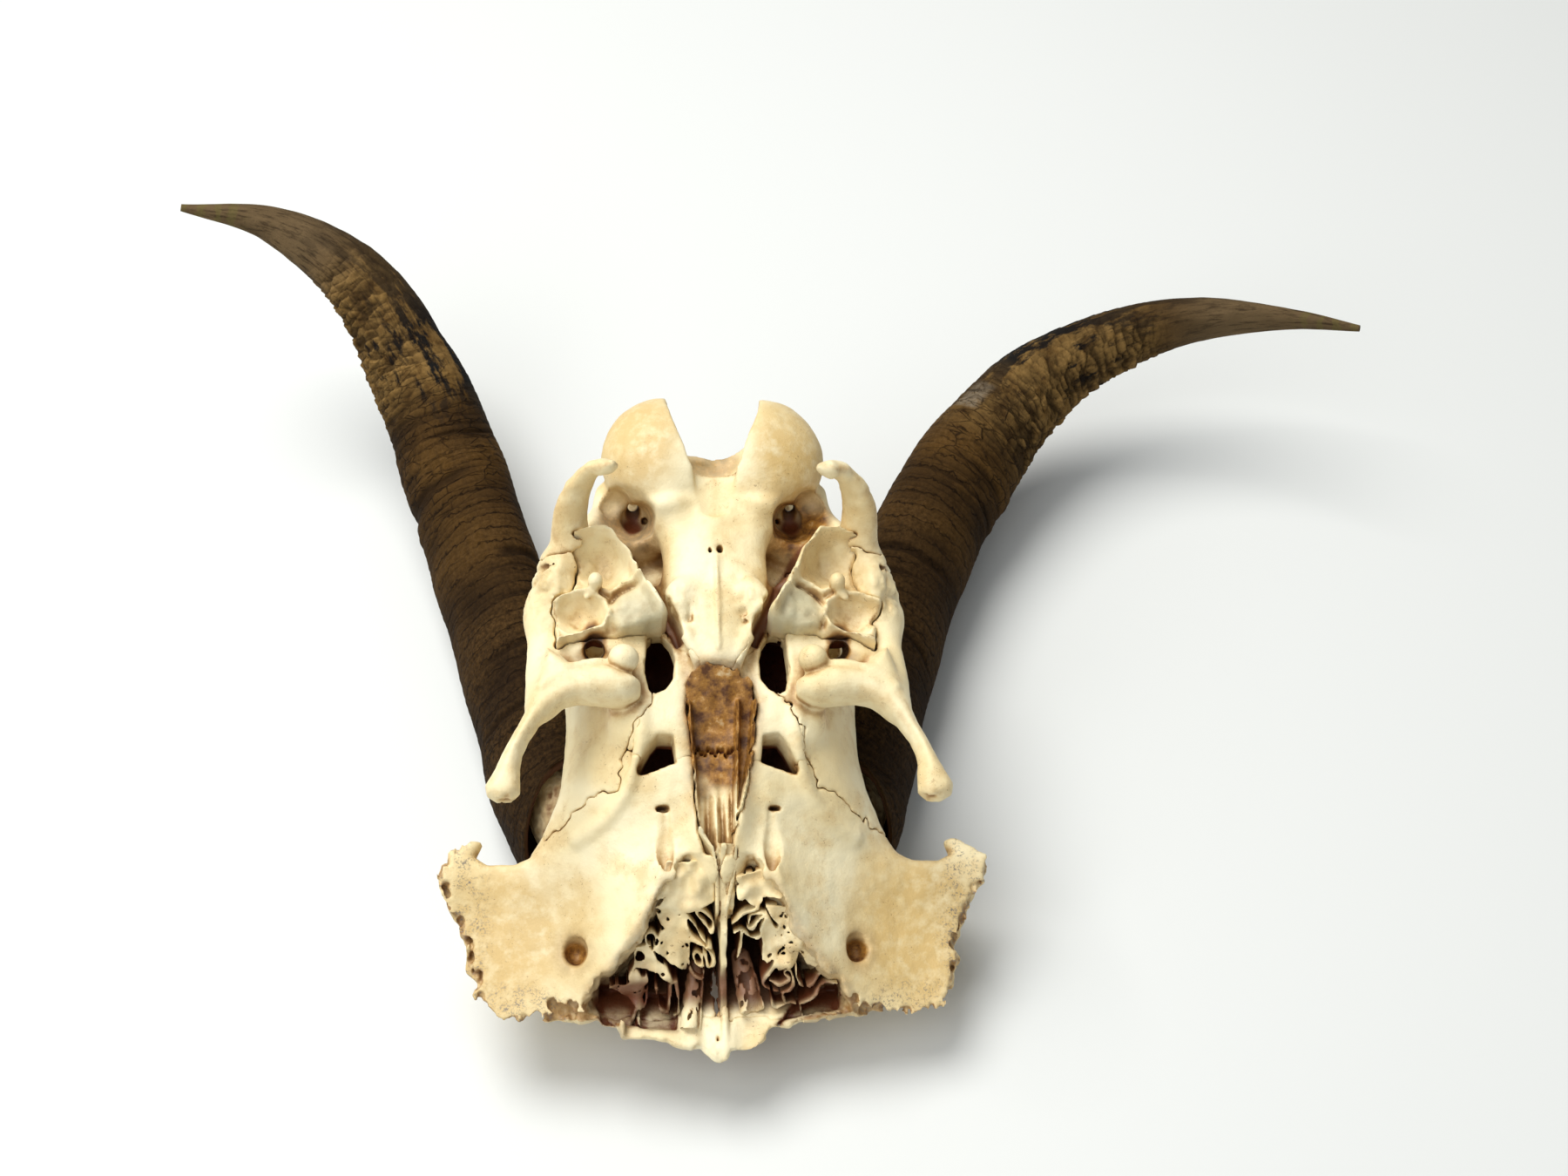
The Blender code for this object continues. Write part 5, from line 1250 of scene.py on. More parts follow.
def horn_section(path, side, up, wide, deep, angle):
    """Each ring: the path's point, plus cosine times the width across, plus sine times the depth upright."""
    across = np.multiply.outer(wide, np.cos(angle))[..., None] * side[:, None]
    upright = np.multiply.outer(deep, np.sin(angle))[..., None] * up[:, None]
    return path[:, None] + across + upright


TURN, PLACE = resting_place()


def mesh_piece(name, points, faces, node, slot, attributes):
    """A closed mesh from points in the skull's frame, riding on the body and standing for its solid."""
    world = (points @ TURN.T + PLACE) * MM
    mesh = bpy.data.meshes.new(name)
    sizes = np.concatenate([np.full(len(block), block.shape[1]) for block in faces])
    corners = np.concatenate([block.ravel() for block in faces]).astype(np.int32)
    mesh.vertices.add(len(world))
    mesh.vertices.foreach_set("co", world.astype(np.float32).ravel())
    mesh.loops.add(len(corners))
    mesh.loops.foreach_set("vertex_index", corners)
    mesh.polygons.add(len(sizes))
    mesh.polygons.foreach_set("loop_start", np.concatenate([[0], np.cumsum(sizes)[:-1]]).astype(np.int32))
    mesh.update(calc_edges=True)
    mesh.validate()
    mesh.polygons.foreach_set("use_smooth", np.full(len(mesh.polygons), True))
    if len(mesh.vertices) == len(points):
        place = mesh.attributes.new("place", "FLOAT_VECTOR", "POINT")
        place.data.foreach_set("vector", points.astype(np.float32).ravel())
        for key, value in attributes.items():
            kind = "FLOAT_VECTOR" if value.ndim == 2 else "FLOAT"
            field = "vector" if value.ndim == 2 else "value"
            layer = mesh.attributes.new(key, kind, "POINT")
            layer.data.foreach_set(field, value.astype(np.float32).ravel())
    obj = bpy.data.objects.new(name, mesh)
    bpy.context.scene.collection.objects.link(obj)
    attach(obj, BODY)
    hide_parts(node)
    return obj


# Bones

def normals_of(clay, points):
    """The way the field rises fastest at each point."""
    step = clay.step
    slope = [clay.at(points + step * axis) - clay.at(points - step * axis) for axis in np.eye(3)]
    slope = np.stack(slope, 1)
    return slope / np.maximum(np.linalg.norm(slope, axis=1, keepdims=True), 1e-6)


def weathered(points, normals, rough):
    """Points pushed along their normals by soft noise, broad and fine, in proportion to roughness."""
    bump = 0.28 * grain(points, 9.0, SEED + 3) + 0.11 * grain(points, 2.6, SEED + 4)
    bump = bump + 0.05 * grain(points, 1.1, SEED + 5)
    return points + normals * (bump * rough * bpy.context.scene.skull_sizes.weathering)[:, None]


def near(points, centre, radius):
    """Falls from 1 at a centre to 0 a radius away."""
    away = np.linalg.norm((points - np.asarray(centre)) / np.asarray(radius), axis=1)
    return fade(away, 0.45, 1.0)


YELLOWED = (
    ((19, 8, 0), (16, 20, 20), 0.9), ((52, -108, -34), (24, 28, 16), 1.0),
    ((40, -104, -36), (30, 32, 16), 0.7), ((36, -12, 8), (10, 14, 16), 0.45),
    ((34, -28, -2), (14, 12, 12), 0.4),
)


def occlusion_shade_of(field, points, normals):
    """How closely other bone stands over each point, judged at three distances outwards; it sets painted
    shade.
    """
    shelter = 0
    for reach, weight in ((0.8, 0.35), (2.5, 0.4), (6.0, 0.25)):
        free = field(points + normals * reach) / (0.8 * reach)
        shelter = shelter + weight * np.clip(1 - free, 0, 1.6)
    return shelter


def bone_attributes(points, normals, shelter):
    """How much painted shade each point takes, and how yellow, pitted, stained, red and green the bone is
    there, each from 0 to 1. Shade is also painted into some of the yellow, the stain and the dark inside.
    """
    side = folded(points)
    yellow = np.zeros(len(points))
    for centre, radius, strength in YELLOWED:
        yellow = np.maximum(yellow, strength * near(side, centre, radius))
    # Brown in the hollow beside each condyle, more of it deeper down: partly stain, partly painted shade
    fossa_shade_and_stain = near(points, (22.0, -9, -9), (13, 12, 11)) + 0.65 * near(points, (-21.5, -9, -9), (12, 11, 10))
    fossa_shade_and_stain = fossa_shade_and_stain * step_between(-points[:, 2] - 0.35 * side[:, 0], -5.2, -1.5)
    spread = fade(inside_outline(points[:, 0], points[:, 1], TROUGH_OUTLINE), -0.5, 3.5)
    spread = spread * step_between(points[:, 2], -15, -11) * step_between(points[:, 1], -90, -80)
    eyes = near(side, (33.8, -112.2, -34), (4.6, 4.6, 5)) + 0.3 * near(side, (33.8, -112.2, -30), (8, 8, 6))
    # Painted shade: the inside of the brain case, the holes and the slit beside the base are coloured dark
    inside = fade(np.linalg.norm((points - (0, -58, -38)) / (33.5, 42, 30), axis=1), 0.93, 1.0)
    inside = np.maximum(inside, near(side, (29.4, -41.5, -11), (5, 8, 9)))
    inside = np.maximum(inside, near(side, (20.2, -6.0, -17), (4, 5, 6)))
    slit = inside_outline(side[:, 0], points[:, 1], SLIT_BESIDE_BASE)
    inside = np.maximum(inside, 0.85 * fade(slit, -0.2, 0.7) * step_between(-points[:, 2], 0.5, 3.0))
    core = near(side, (38, -76, -50), (13, 20, 14))
    # Painted shade: faces turned towards the table take more of the yellow
    turned_down_shade = step_between(-normals[:, 2], 0.0, 0.6) * 0.35
    yellow = np.clip(yellow + turned_down_shade + 0.25 * grain(points, 14.0, SEED + 6), 0, 1)
    rim = near(side, (62, -104, -34), (10, 30, 16)) + near(side, (48, -126, -37), (20, 10, 12))
    # Painted shade round the ear passage and the hole beside each condyle, added to the occlusion shade
    holes = near(side, (29.5, -43.0, -7), (5, 7, 9)) + near(side, (20.0, 0, -17), (3, 5, 6))
    lip = near(points, (2, 14.5, -20.5), (15, 5, 4)) * 0.5
    sinus = np.zeros(len(points))
    for outline in (*LEFT_SINUSES, RIGHT_SINUS):
        away = inside_outline(points[:, 0], points[:, 1], outline)
        sinus = np.maximum(sinus, fade(away, -0.4, 1.6))
    sinus = sinus * fade(points[:, 2], -34.5, -30.5) * (normals[:, 2] > -0.3)
    cavity = inside_outline(side[:, 0], points[:, 1], CAVITY_OUTLINE)
    # Painted shade deep in the nasal cavity, coloured dark like the inside
    deep = fade(cavity, -1.6, -0.2) * step_between(-points[:, 2], 27, 31)
    deep = deep * step_between(points[:, 1], -127, -122)
    cavity = np.abs(cavity)
    split = fade(cavity, 0.3, 2.6) * step_between(-points[:, 1], 96, 102) * (normals[:, 2] > -0.3)
    # Painted shade as brown stain, deepening into the groove and hole by the jaw joint
    slot = near(side, (29.6, -47.4, -1), (7, 3.6, 6)) * step_between(-points[:, 2], -1.5, 1.5)
    return {
        "shelter": shelter + 1.4 * holes, "yellow": yellow, "pitted": np.clip(rim, 0, 1),
        "stain": np.clip(fossa_shade_and_stain + 0.55 * spread + eyes + 0.4 * split + 0.7 * slot + lip, 0, 1),
        "red": 1.6 * sinus + 1.1 * core, "inside": np.maximum(inside, 0.9 * deep),
        "green": 0 * yellow,
    }


def bone_mesh(name, node, clay, points, triangles, quads, rough=1.0, slot="bone", changes=None, place=None):
    """One bone's mesh from its field's zero level, weathered a little, with what its colour depends on."""
    points, triangles, quads = keep_pieces(points, triangles, quads)
    normals = normals_of(clay, points)
    shelter = occlusion_shade_of(clay.at, points, normals)
    local = points
    if place is not None:
        points = place(points)
        normals = place(local + normals) - points
    attributes = bone_attributes(points, normals, shelter)
    if changes is not None:
        attributes.update(changes(local, points))
    obj = mesh_piece(name, weathered(points, normals, rough), [quads, triangles], node, slot, attributes)
    obj.data.set_sharp_from_angle(angle=math.radians(SHARP_ANGLE))
    obj.data.materials.append(dry_bone())
    return obj


def carve_room(whole, piece, gap, flip=1, open_from=None):
    """Takes a piece's room and a gap round it out of the whole skull; above a height, all over it too."""
    lows = np.array([axis[0] for axis in piece.axes])
    highs = np.array([axis[-1] for axis in piece.axes])
    low = lows if flip == 1 else np.array([-highs[0], lows[1], lows[2]])
    high = highs if flip == 1 else np.array([-lows[0], highs[1], highs[2]])
    cut, (x, y, z) = whole.window(low + 1e-3, high - 1e-3)
    points = np.stack(np.broadcast_arrays(flip * x, y, z), -1).reshape(-1, 3)
    d = piece.at(points).reshape(whole.d[cut].shape)
    whole.d[cut] = np.maximum(whole.d[cut], gap - d)
    if open_from is None:
        return
    points[:, 2] = np.minimum(points[:, 2], open_from)
    d = piece.at(points).reshape(whole.d[cut].shape)
    side = np.abs(x)
    d = d + 4 * step_between(side + 0 * y, 30.5, 33.5) * step_between(y + 0 * side, -21.5, -18.5)
    whole.d[cut] = np.maximum(whole.d[cut], gap - d)


def sample_distance():
    return bpy.context.scene.skull_sizes.sample * 1


# Each of these fields is worked out once: the cranium makes room for it, and its own operator meshes it

@cache
def ploughshare_clay():
    """The field of the trough and septum."""
    return vomer_field(PLATE_SHARE * sample_distance())


@cache
def drum_clay(flip):
    """The field of an ear drum bone, as if it lay on the right."""
    return drum_field(sample_distance(), SEED + (60 if flip == 1 else 70))


def cranium():
    """The fused bones: one field less the room of the small bones, parted at the sutures and meshed."""
    whole = skull_field(sample_distance())
    carve_room(whole, ploughshare_clay(), TROUGH_GAP)
    for flip in (1, -1):
        carve_room(whole, drum_clay(flip), DRUM_GAP, flip, DRUM_OPEN_FROM)
    shape = Clay.__new__(Clay)
    shape.step, shape.low, shape.axes, shape.d = whole.step, whole.low, whole.axes, whole.d.copy()
    for name, field in part_skull(whole, bpy.context.scene.skull_sizes.suture).items():
        bone_mesh(name + "_bone", name, shape, *shape.surface(field))


def ploughshare():
    """The stained trough with the septum in front of it."""
    def stained(local, points):
        top = step_between(points[:, 1] + 3.5 * grain(points, 4.0, SEED + 28), -82, -74)
        return {"stain": top * step_between(points[:, 2], -16, -10), "yellow": 0.25 * top}

    clay = ploughshare_clay()
    bone_mesh("vomer_bone", "vomer", clay, *clay.surface(), 0.7, "stained_bone", stained)


def drum_bones():
    """The two ear drum bones, each from its own noise, the left one mirrored."""
    def greenish(local, points):
        side = folded(points)
        green = near(side, (18.6, -37.4, 1), (9, 9, 9))
        return {"green": green + 0.35 * near(side, (27.6, -22.4, -2), (9, 8, 9))}

    for side, flip in (("R", 1), ("L", -1)):
        drum = drum_clay(flip)
        points, *faces = drum.surface()
        faces = (block[:, ::flip] for block in faces)
        bone_mesh("tympanic_bone_" + side, "tympanic_" + side, drum, points, *faces, 0.8, "bone", greenish,
                  lambda p, flip=flip: p * (flip, 1, 1))


def sieve_bones():
    """The broken sieve bone, one field parted down the middle."""
    def depth_shade(local, points):
        # Painted shade and a little brown, darker the deeper into the sieve bone
        depth = step_between(-local[:, 2], 0.3, 7)
        return {"shelter": 0.15 + 1.6 * depth, "stain": 0.3 * depth,
                "yellow": 0.1 + 0 * depth, "pitted": 0 * depth}

    sieve = sieve_field(PLATE_SHARE * sample_distance())
    across = sieve.axes[0][:, None, None]
    for side, flip in (("R", 1), ("L", -1)):
        half = np.maximum(sieve.d, SIEVE_GAP - flip * across)
        bone_mesh("sieve_bone_" + side, "ethmoid_" + side, sieve, *sieve.surface(half), 0.3, "bone",
                  depth_shade, from_face)


def scroll_bones():
    """The two rolled tubes low in the nose."""
    for side, scroll in zip("LR", scroll_fields(SCROLL_SHARE * sample_distance())):
        bone_mesh("scroll_bone_" + side, "turbinate_" + side, scroll, *scroll.surface(), 0.4)


# Horn sheaths

def chips(u, v, size, seed):
    """Plates round points strewn one to a cell: how far the edge is, a slope across it, and its own level."""
    i = np.floor(u / size).astype(np.int64)
    j = np.floor(v / size).astype(np.int64)
    first = np.full(u.shape, 9.0)
    second = np.full(u.shape, 9.0)
    slope = np.zeros(u.shape)
    own = np.zeros(u.shape)
    for di in (-1, 0, 1):
        for dj in (-1, 0, 1):
            cu = i + di + 0.5 + 0.45 * lattice_value(i + di, j + dj, 0, seed)
            cv = j + dj + 0.5 + 0.45 * lattice_value(i + di, j + dj, 1, seed)
            away = np.hypot(u / size - cu, v / size - cv)
            nearer = away < first
            second = np.where(nearer, first, np.minimum(second, away))
            slope = np.where(nearer, u / size - cu, slope)
            own = np.where(nearer, lattice_value(i + di, j + dj, 2, seed), own)
            first = np.where(nearer, away, first)
    return second - first, slope, own


# Each horn: seed, creases (share of the length, depth, width, middle angle, half angle), where it flakes,
# which way its hollow side faces, as an angle round the section, and how far that side is notched
HORN_LOOKS = {
    "L": (27, ((0.56, 0.7, 0.7, 90, 60), (0.495, 0.9, 2.2, 180, 90), (0.375, 1.3, 1.6, 50, 65),
               (0.355, 0.5, 0.6, 60, 80), (0.31, 0.7, 0.8, 60, 80), (0.24, 0.8, 0.9, 70, 100),
               (0.17, 0.9, 1.0, 80, 120)),
          (0.62, 0.78), 180, 0.3),
    "R": (47, ((0.48, 0.6, 0.6, 40, 55), (0.45, 0.5, 0.5, 30, 50), (0.33, 1.3, 1.0, 110, 110),
               (0.30, 0.7, 0.7, 120, 80), (0.22, 0.8, 0.9, 90, 100), (0.15, 0.9, 1.0, 90, 120)),
          (0.54, 0.74), 0, 0.5),
}

SCRAPED_AT = 0.56
SCRAPED_ANGLE = 105


def horn_piece(side_name, points, half_widths, rings, sides):
    """A sheath: oval rings square to a path, raised and lowered by growth rings, creases, flakes and fibres.
    """
    seed, creases, (flakes_from, flakes_to), hollow_side, notched = HORN_LOOKS[side_name]
    coarse = curve_through(points, PATH_POINTS)
    length = np.linalg.norm(np.diff(coarse, axis=0), axis=1).sum()
    t = np.linspace(MOUTH_SHARE[side_name], 1, rings)
    path, side, up = (
        np.stack([np.interp(t, np.linspace(0, 1, PATH_POINTS), row) for row in rows.T], 1)
        for rows in (coarse, *horn_frame(coarse))
    )
    wide = through(t, HORN_STATIONS, half_widths)
    deep = through(t, HORN_STATIONS, HORN_HALF_DEPTHS)
    angle = np.linspace(0, 2 * np.pi, sides, endpoint=False)
    surface = horn_section(path, side, up, wide, deep, angle)
    share = t[:, None] + 0 * angle
    s = share * length
    straight = np.stack([s, wide[:, None] * np.cos(angle), deep[:, None] * np.sin(angle)], -1)
    arc = angle[None, :] * np.sqrt(wide * deep)[:, None]
    bulk = np.clip(np.sqrt(wide * deep)[:, None] / 9, 0, 1)
    sway = 1.6 * grain(straight, 16.0, seed) + 0.6 * grain(straight, 4.5, seed + 1)
    ringed = fade(share, flakes_from - 0.06, flakes_to - 0.04)
    phase = (s + sway) / 2.7 + 0.9 * grain(straight * (1, 0.1, 0.1), 9.0, seed + 2)
    saw = phase - np.floor(phase)
    lift = ringed * (0.16 * saw - 0.20 * np.exp(-(np.minimum(saw, 1 - saw) / 0.10) ** 2))
    lift = lift + ringed * 0.3 * np.sin(2 * np.pi * (s + 2 * sway) / 33.0 + 1.0)
    for at, depth, width, middle, half in creases:
        turn = np.abs((np.degrees(angle)[None, :] - middle + 180) % 360 - 180)
        near_it = (s + 1.2 * sway - at * length) / width
        lift = lift - depth * np.exp(-near_it ** 2) * fade(turn, 0.5 * half, half)
    hollow = 0.5 + 0.5 * np.cos(angle[None, :] - math.radians(hollow_side)) + 0 * s
    flaked = step_between(share, flakes_from - 0.05, flakes_from + 0.04)
    flaked = flaked * fade(share, flakes_to, flakes_to + 0.07)
    bent = grain(straight, 5.0, seed + 3)
    edge, slope, own = chips(1.3 * s + 1.5 * bent, 0.8 * arc + 1.5 * grain(straight, 5.0, seed + 4),
                             3.4, seed + 5)
    crumb, small_slope, small_own = chips(s + 0.8 * bent, arc, 2.4, seed + 6)
    scale = 0.62 * own + 0.95 * slope - 0.7 * np.exp(-(edge / 0.13) ** 2)
    scale = scale + 0.25 * small_own + 0.3 * small_slope
    lift = lift + flaked * (0.12 + 0.88 * hollow ** 2) * scale * 0.6
    stepped = step_between(share, 0.38, 0.5) * fade(share, flakes_to, flakes_to + 0.05) * hollow ** 2
    lift = lift + stepped * notched * (grain(straight * (1, 0.15, 0.15), 1.9, seed + 7) + 0.6 * (saw - 0.5))
    fibre = grain(straight * (0.07, 1, 1), 1.3, seed + 8)
    lift = lift + 0.16 * fibre * bulk * step_between(share, flakes_to - 0.1, flakes_to + 0.1)
    lift = lift + bulk * (0.14 * grain(straight, 3.2, seed + 9) + 0.25 * grain(straight, 12.0, seed + 10))
    lift = lift * (1 - step_between(share, 0.97, 1.0) * 0.9) - 0.27
    outward = surface - path[:, None]
    outward = outward / np.linalg.norm(outward, axis=2, keepdims=True)
    surface = surface + outward * lift[..., None]
    inward = np.linspace(0.93, 0.55, MOUTH_RINGS)[:, None, None]
    inner_at = np.linspace(0, int(rings * 0.10), MOUTH_RINGS).astype(int)
    inner = path[inner_at][:, None] + (surface[inner_at] - path[inner_at][:, None]) * inward
    stack = np.concatenate([inner[::-1], surface])
    rows = len(stack)
    i = np.arange(rows - 1)[:, None]
    j = np.arange(sides)[None, :]
    k = (j + 1) % sides
    quads = np.stack([i * sides + j, i * sides + k, (i + 1) * sides + k, (i + 1) * sides + j], -1)
    quads = quads.reshape(-1, 4)
    ends = np.stack([path[inner_at[-1]], path[-1]])
    first_end = rows * sides
    j = np.arange(sides)
    k = (j + 1) % sides
    caps = np.concatenate([
        np.stack([np.full(sides, first_end), k, j], 1),
        np.stack([np.full(sides, first_end + 1), (rows - 1) * sides + j, (rows - 1) * sides + k], 1),
    ])

    def grown(value, inside=0.0, tip=0.0):
        """A value of the outer rings, with one for the mouth's inner rings and one for the tip."""
        return np.concatenate([np.full(MOUTH_RINGS * sides, inside), (value + 0 * s).ravel(), [inside, tip]])

    # How far the surface is lowered, for painted shade and grime in the grooves
    groove_shade_and_dirt = np.clip(-(lift - 0.1) / 0.8, 0, 1)
    turn = np.abs((np.degrees(angle)[None, :] - SCRAPED_ANGLE + 180) % 360 - 180)
    scraped = (side_name == "R") * fade(np.abs(s - SCRAPED_AT * length), 4.0, 6.0) * fade(turn, 10, 22)
    attributes = {
        "along": grown(share, 0.0, 1.0), "groove_shade_and_dirt": grown(groove_shade_and_dirt), "ringed": grown(ringed),
        "flaked": grown(flaked), "hollow": grown(hollow), "mouth": grown(0 * s, 1.0),
        "scraped": grown(scraped),
        "straight": np.stack([grown(straight[..., k]) for k in range(3)], 1),
    }
    return np.concatenate([stack.reshape(-1, 3), ends]), [quads, caps], attributes


def add(tree, kind, inputs=None, out=0, **settings):
    """Adds a node with its settings, sets or links its sockets, and gives one of its outputs."""
    node = tree.nodes.new(kind)
    for key, value in settings.items():
        setattr(node, key, value)
    for key, value in (inputs or {}).items():
        if isinstance(value, bpy.types.NodeSocket):
            tree.links.new(value, node.inputs[key])
        else:
            node.inputs[key].default_value = value
    return node.outputs[out]


def material(name):
    """A new material, its nodes and its shader."""
    made = bpy.data.materials.new(name)
    made.use_nodes = True
    return made, made.node_tree, made.node_tree.nodes["Principled BSDF"]


NOISE, RANGE, MIX, MATHS, FIELD, MAPPING = (
    "ShaderNodeTexNoise", "ShaderNodeMapRange", "ShaderNodeMix", "ShaderNodeMath", "ShaderNodeAttribute",
    "ShaderNodeMapping",
)
SOFT = "SMOOTHSTEP"
NOISE_SOCKETS = ("Vector", "Scale", "Detail", "Roughness", "Distortion")


def share_of(tree, *parts):
    """Multiplies shares: sockets, numbers, or (socket, where it is 0, where it is full, most, kind)."""
    share = None
    for part in parts:
        if isinstance(part, tuple):
            value, empty, full, most, kind = part + (1.0, "LINEAR")[len(part) - 3:]
            part = add(tree, RANGE, {"Value": value, "From Min": empty, "From Max": full, "To Max": most},
                       interpolation_type=kind)
        share = part if share is None else add(tree, MATHS, {0: share, 1: part}, operation="MULTIPLY")
    return share


def layered(tree, colour, layers):
    """Colours laid over one another, each as strongly as its shares say."""
    for over, *parts in layers:
        colour = add(tree, MIX, {0: share_of(tree, *parts), 6: colour, 7: over}, 2, data_type="RGBA")
    return colour


def finish(tree, shader, colour, rough, relief):
    """Links a material's colour, roughness and relief to its shader."""
    tree.links.new(colour, shader.inputs["Base Color"])
    tree.links.new(rough, shader.inputs["Roughness"])
    tree.links.new(add(tree, "ShaderNodeBump", relief), shader.inputs["Normal"])


@cache
def dry_bone():
    """Dry, degreased bone: matt ivory, yellower where grease stayed, brown where damp soil stained it, with
    painted shade, brown to near black, in its hollows and wherever other bone stands over it.
    """
    look = bpy.context.scene.skull_bone
    made, tree, shader = material("dry_bone")
    # Places in the skull's frame, in millimetres, so that the pattern keeps its size
    place = add(tree, FIELD, out="Vector", attribute_name="place")
    broad, middle, fine, dots, mottled, hair = (
        add(tree, NOISE, dict(zip(NOISE_SOCKETS, (place, *row))))
        for row in ((0.05, 3.0), (0.32, 6.0, 0.62), (1.7, 4.0, 0.6), (1.5, 1.0, 0.4), (0.1, 6.0, 0.66),
                    (0.22, 3.0, 0.55, 0.6))
    )
    shelter, yellow, pitted, stain, red, green, inside = (
        add(tree, FIELD, out="Fac", attribute_name=name)
        for name in ("shelter", "yellow", "pitted", "stain", "red", "green", "inside")
    )
    # Painted shade, with some soil, rising where other bone stands over the point, broken up by noise
    shade_and_soil = add(tree, MATHS, {0: middle, 1: 0.7, 2: shelter}, operation="MULTIPLY_ADD")
    hair = add(tree, MATHS, {0: hair, 1: 0.5}, operation="SUBTRACT")
    hair = add(tree, MATHS, {0: hair}, operation="ABSOLUTE")
    gathered = (mottled, 0.5, 0.62)
    brown = layered(tree, look.stain, [(look.deep_stain, (middle, 0.4, 0.62))])
    colour = layered(tree, look.ivory, (
        # Ivory in two shades, in patches some centimetres wide
        (look.deep_ivory, (broad, 0.35, 0.65, 1.0, SOFT)),
        # Tan mottling, patches five to fifteen millimetres wide
        (look.tan, (mottled, 0.5, 0.66, 0.55)),
        # Grease left in the bone, yellow; on faces turned towards the table the same yellow is painted shade
        (look.grease, (middle, 0.1, 0.56), yellow),
        # Painted shade with some soil wherever other bone stands over it, light brown, then dark brown
        (look.tan, (shade_and_soil, 0.4, 0.78, 0.8)),
        (look.soil, (shade_and_soil, 0.54, 1.05, 0.9, SOFT)),
        (look.deep_shade_and_soil, (shade_and_soil, 0.9, 1.45, 0.95, SOFT)),
        # Dark pores, each under a millimetre
        (look.pore, (dots, 0.7, 0.75, 0.6), gathered),
        # Hairlines where the surface has begun to crack and where small vessels ran
        (look.hairline, (hair, 0.007, 0.0, 0.5), gathered),
        # Grey speckle on the spongy rims
        (look.rim, (fine, 0.5, 0.62), pitted, (middle, 0.42, 0.6)),
        # Old stains: brown from soil, with painted shade in the hollow beside each condyle and by the jaw
        # joint, red-brown in the sinuses, grey-green where the drum bone is thin
        (brown, (middle, 0.15, 0.42), stain),
        (look.sinus, red, shade_and_soil),
        (look.drum, green, 0.55),
        # Painted shade: the hollow of the brain, the holes and the depths of the nose are coloured dark brown
        (look.hollow_shade, inside),
    ))
    rough = add(tree, RANGE, {"Value": middle, "To Min": 0.42, "To Max": 0.62})
    finish(tree, shader, colour, rough, {"Height": fine, "Strength": 0.45, "Distance": 0.00025})
    shader.inputs["IOR"].default_value = 1.5
    return made


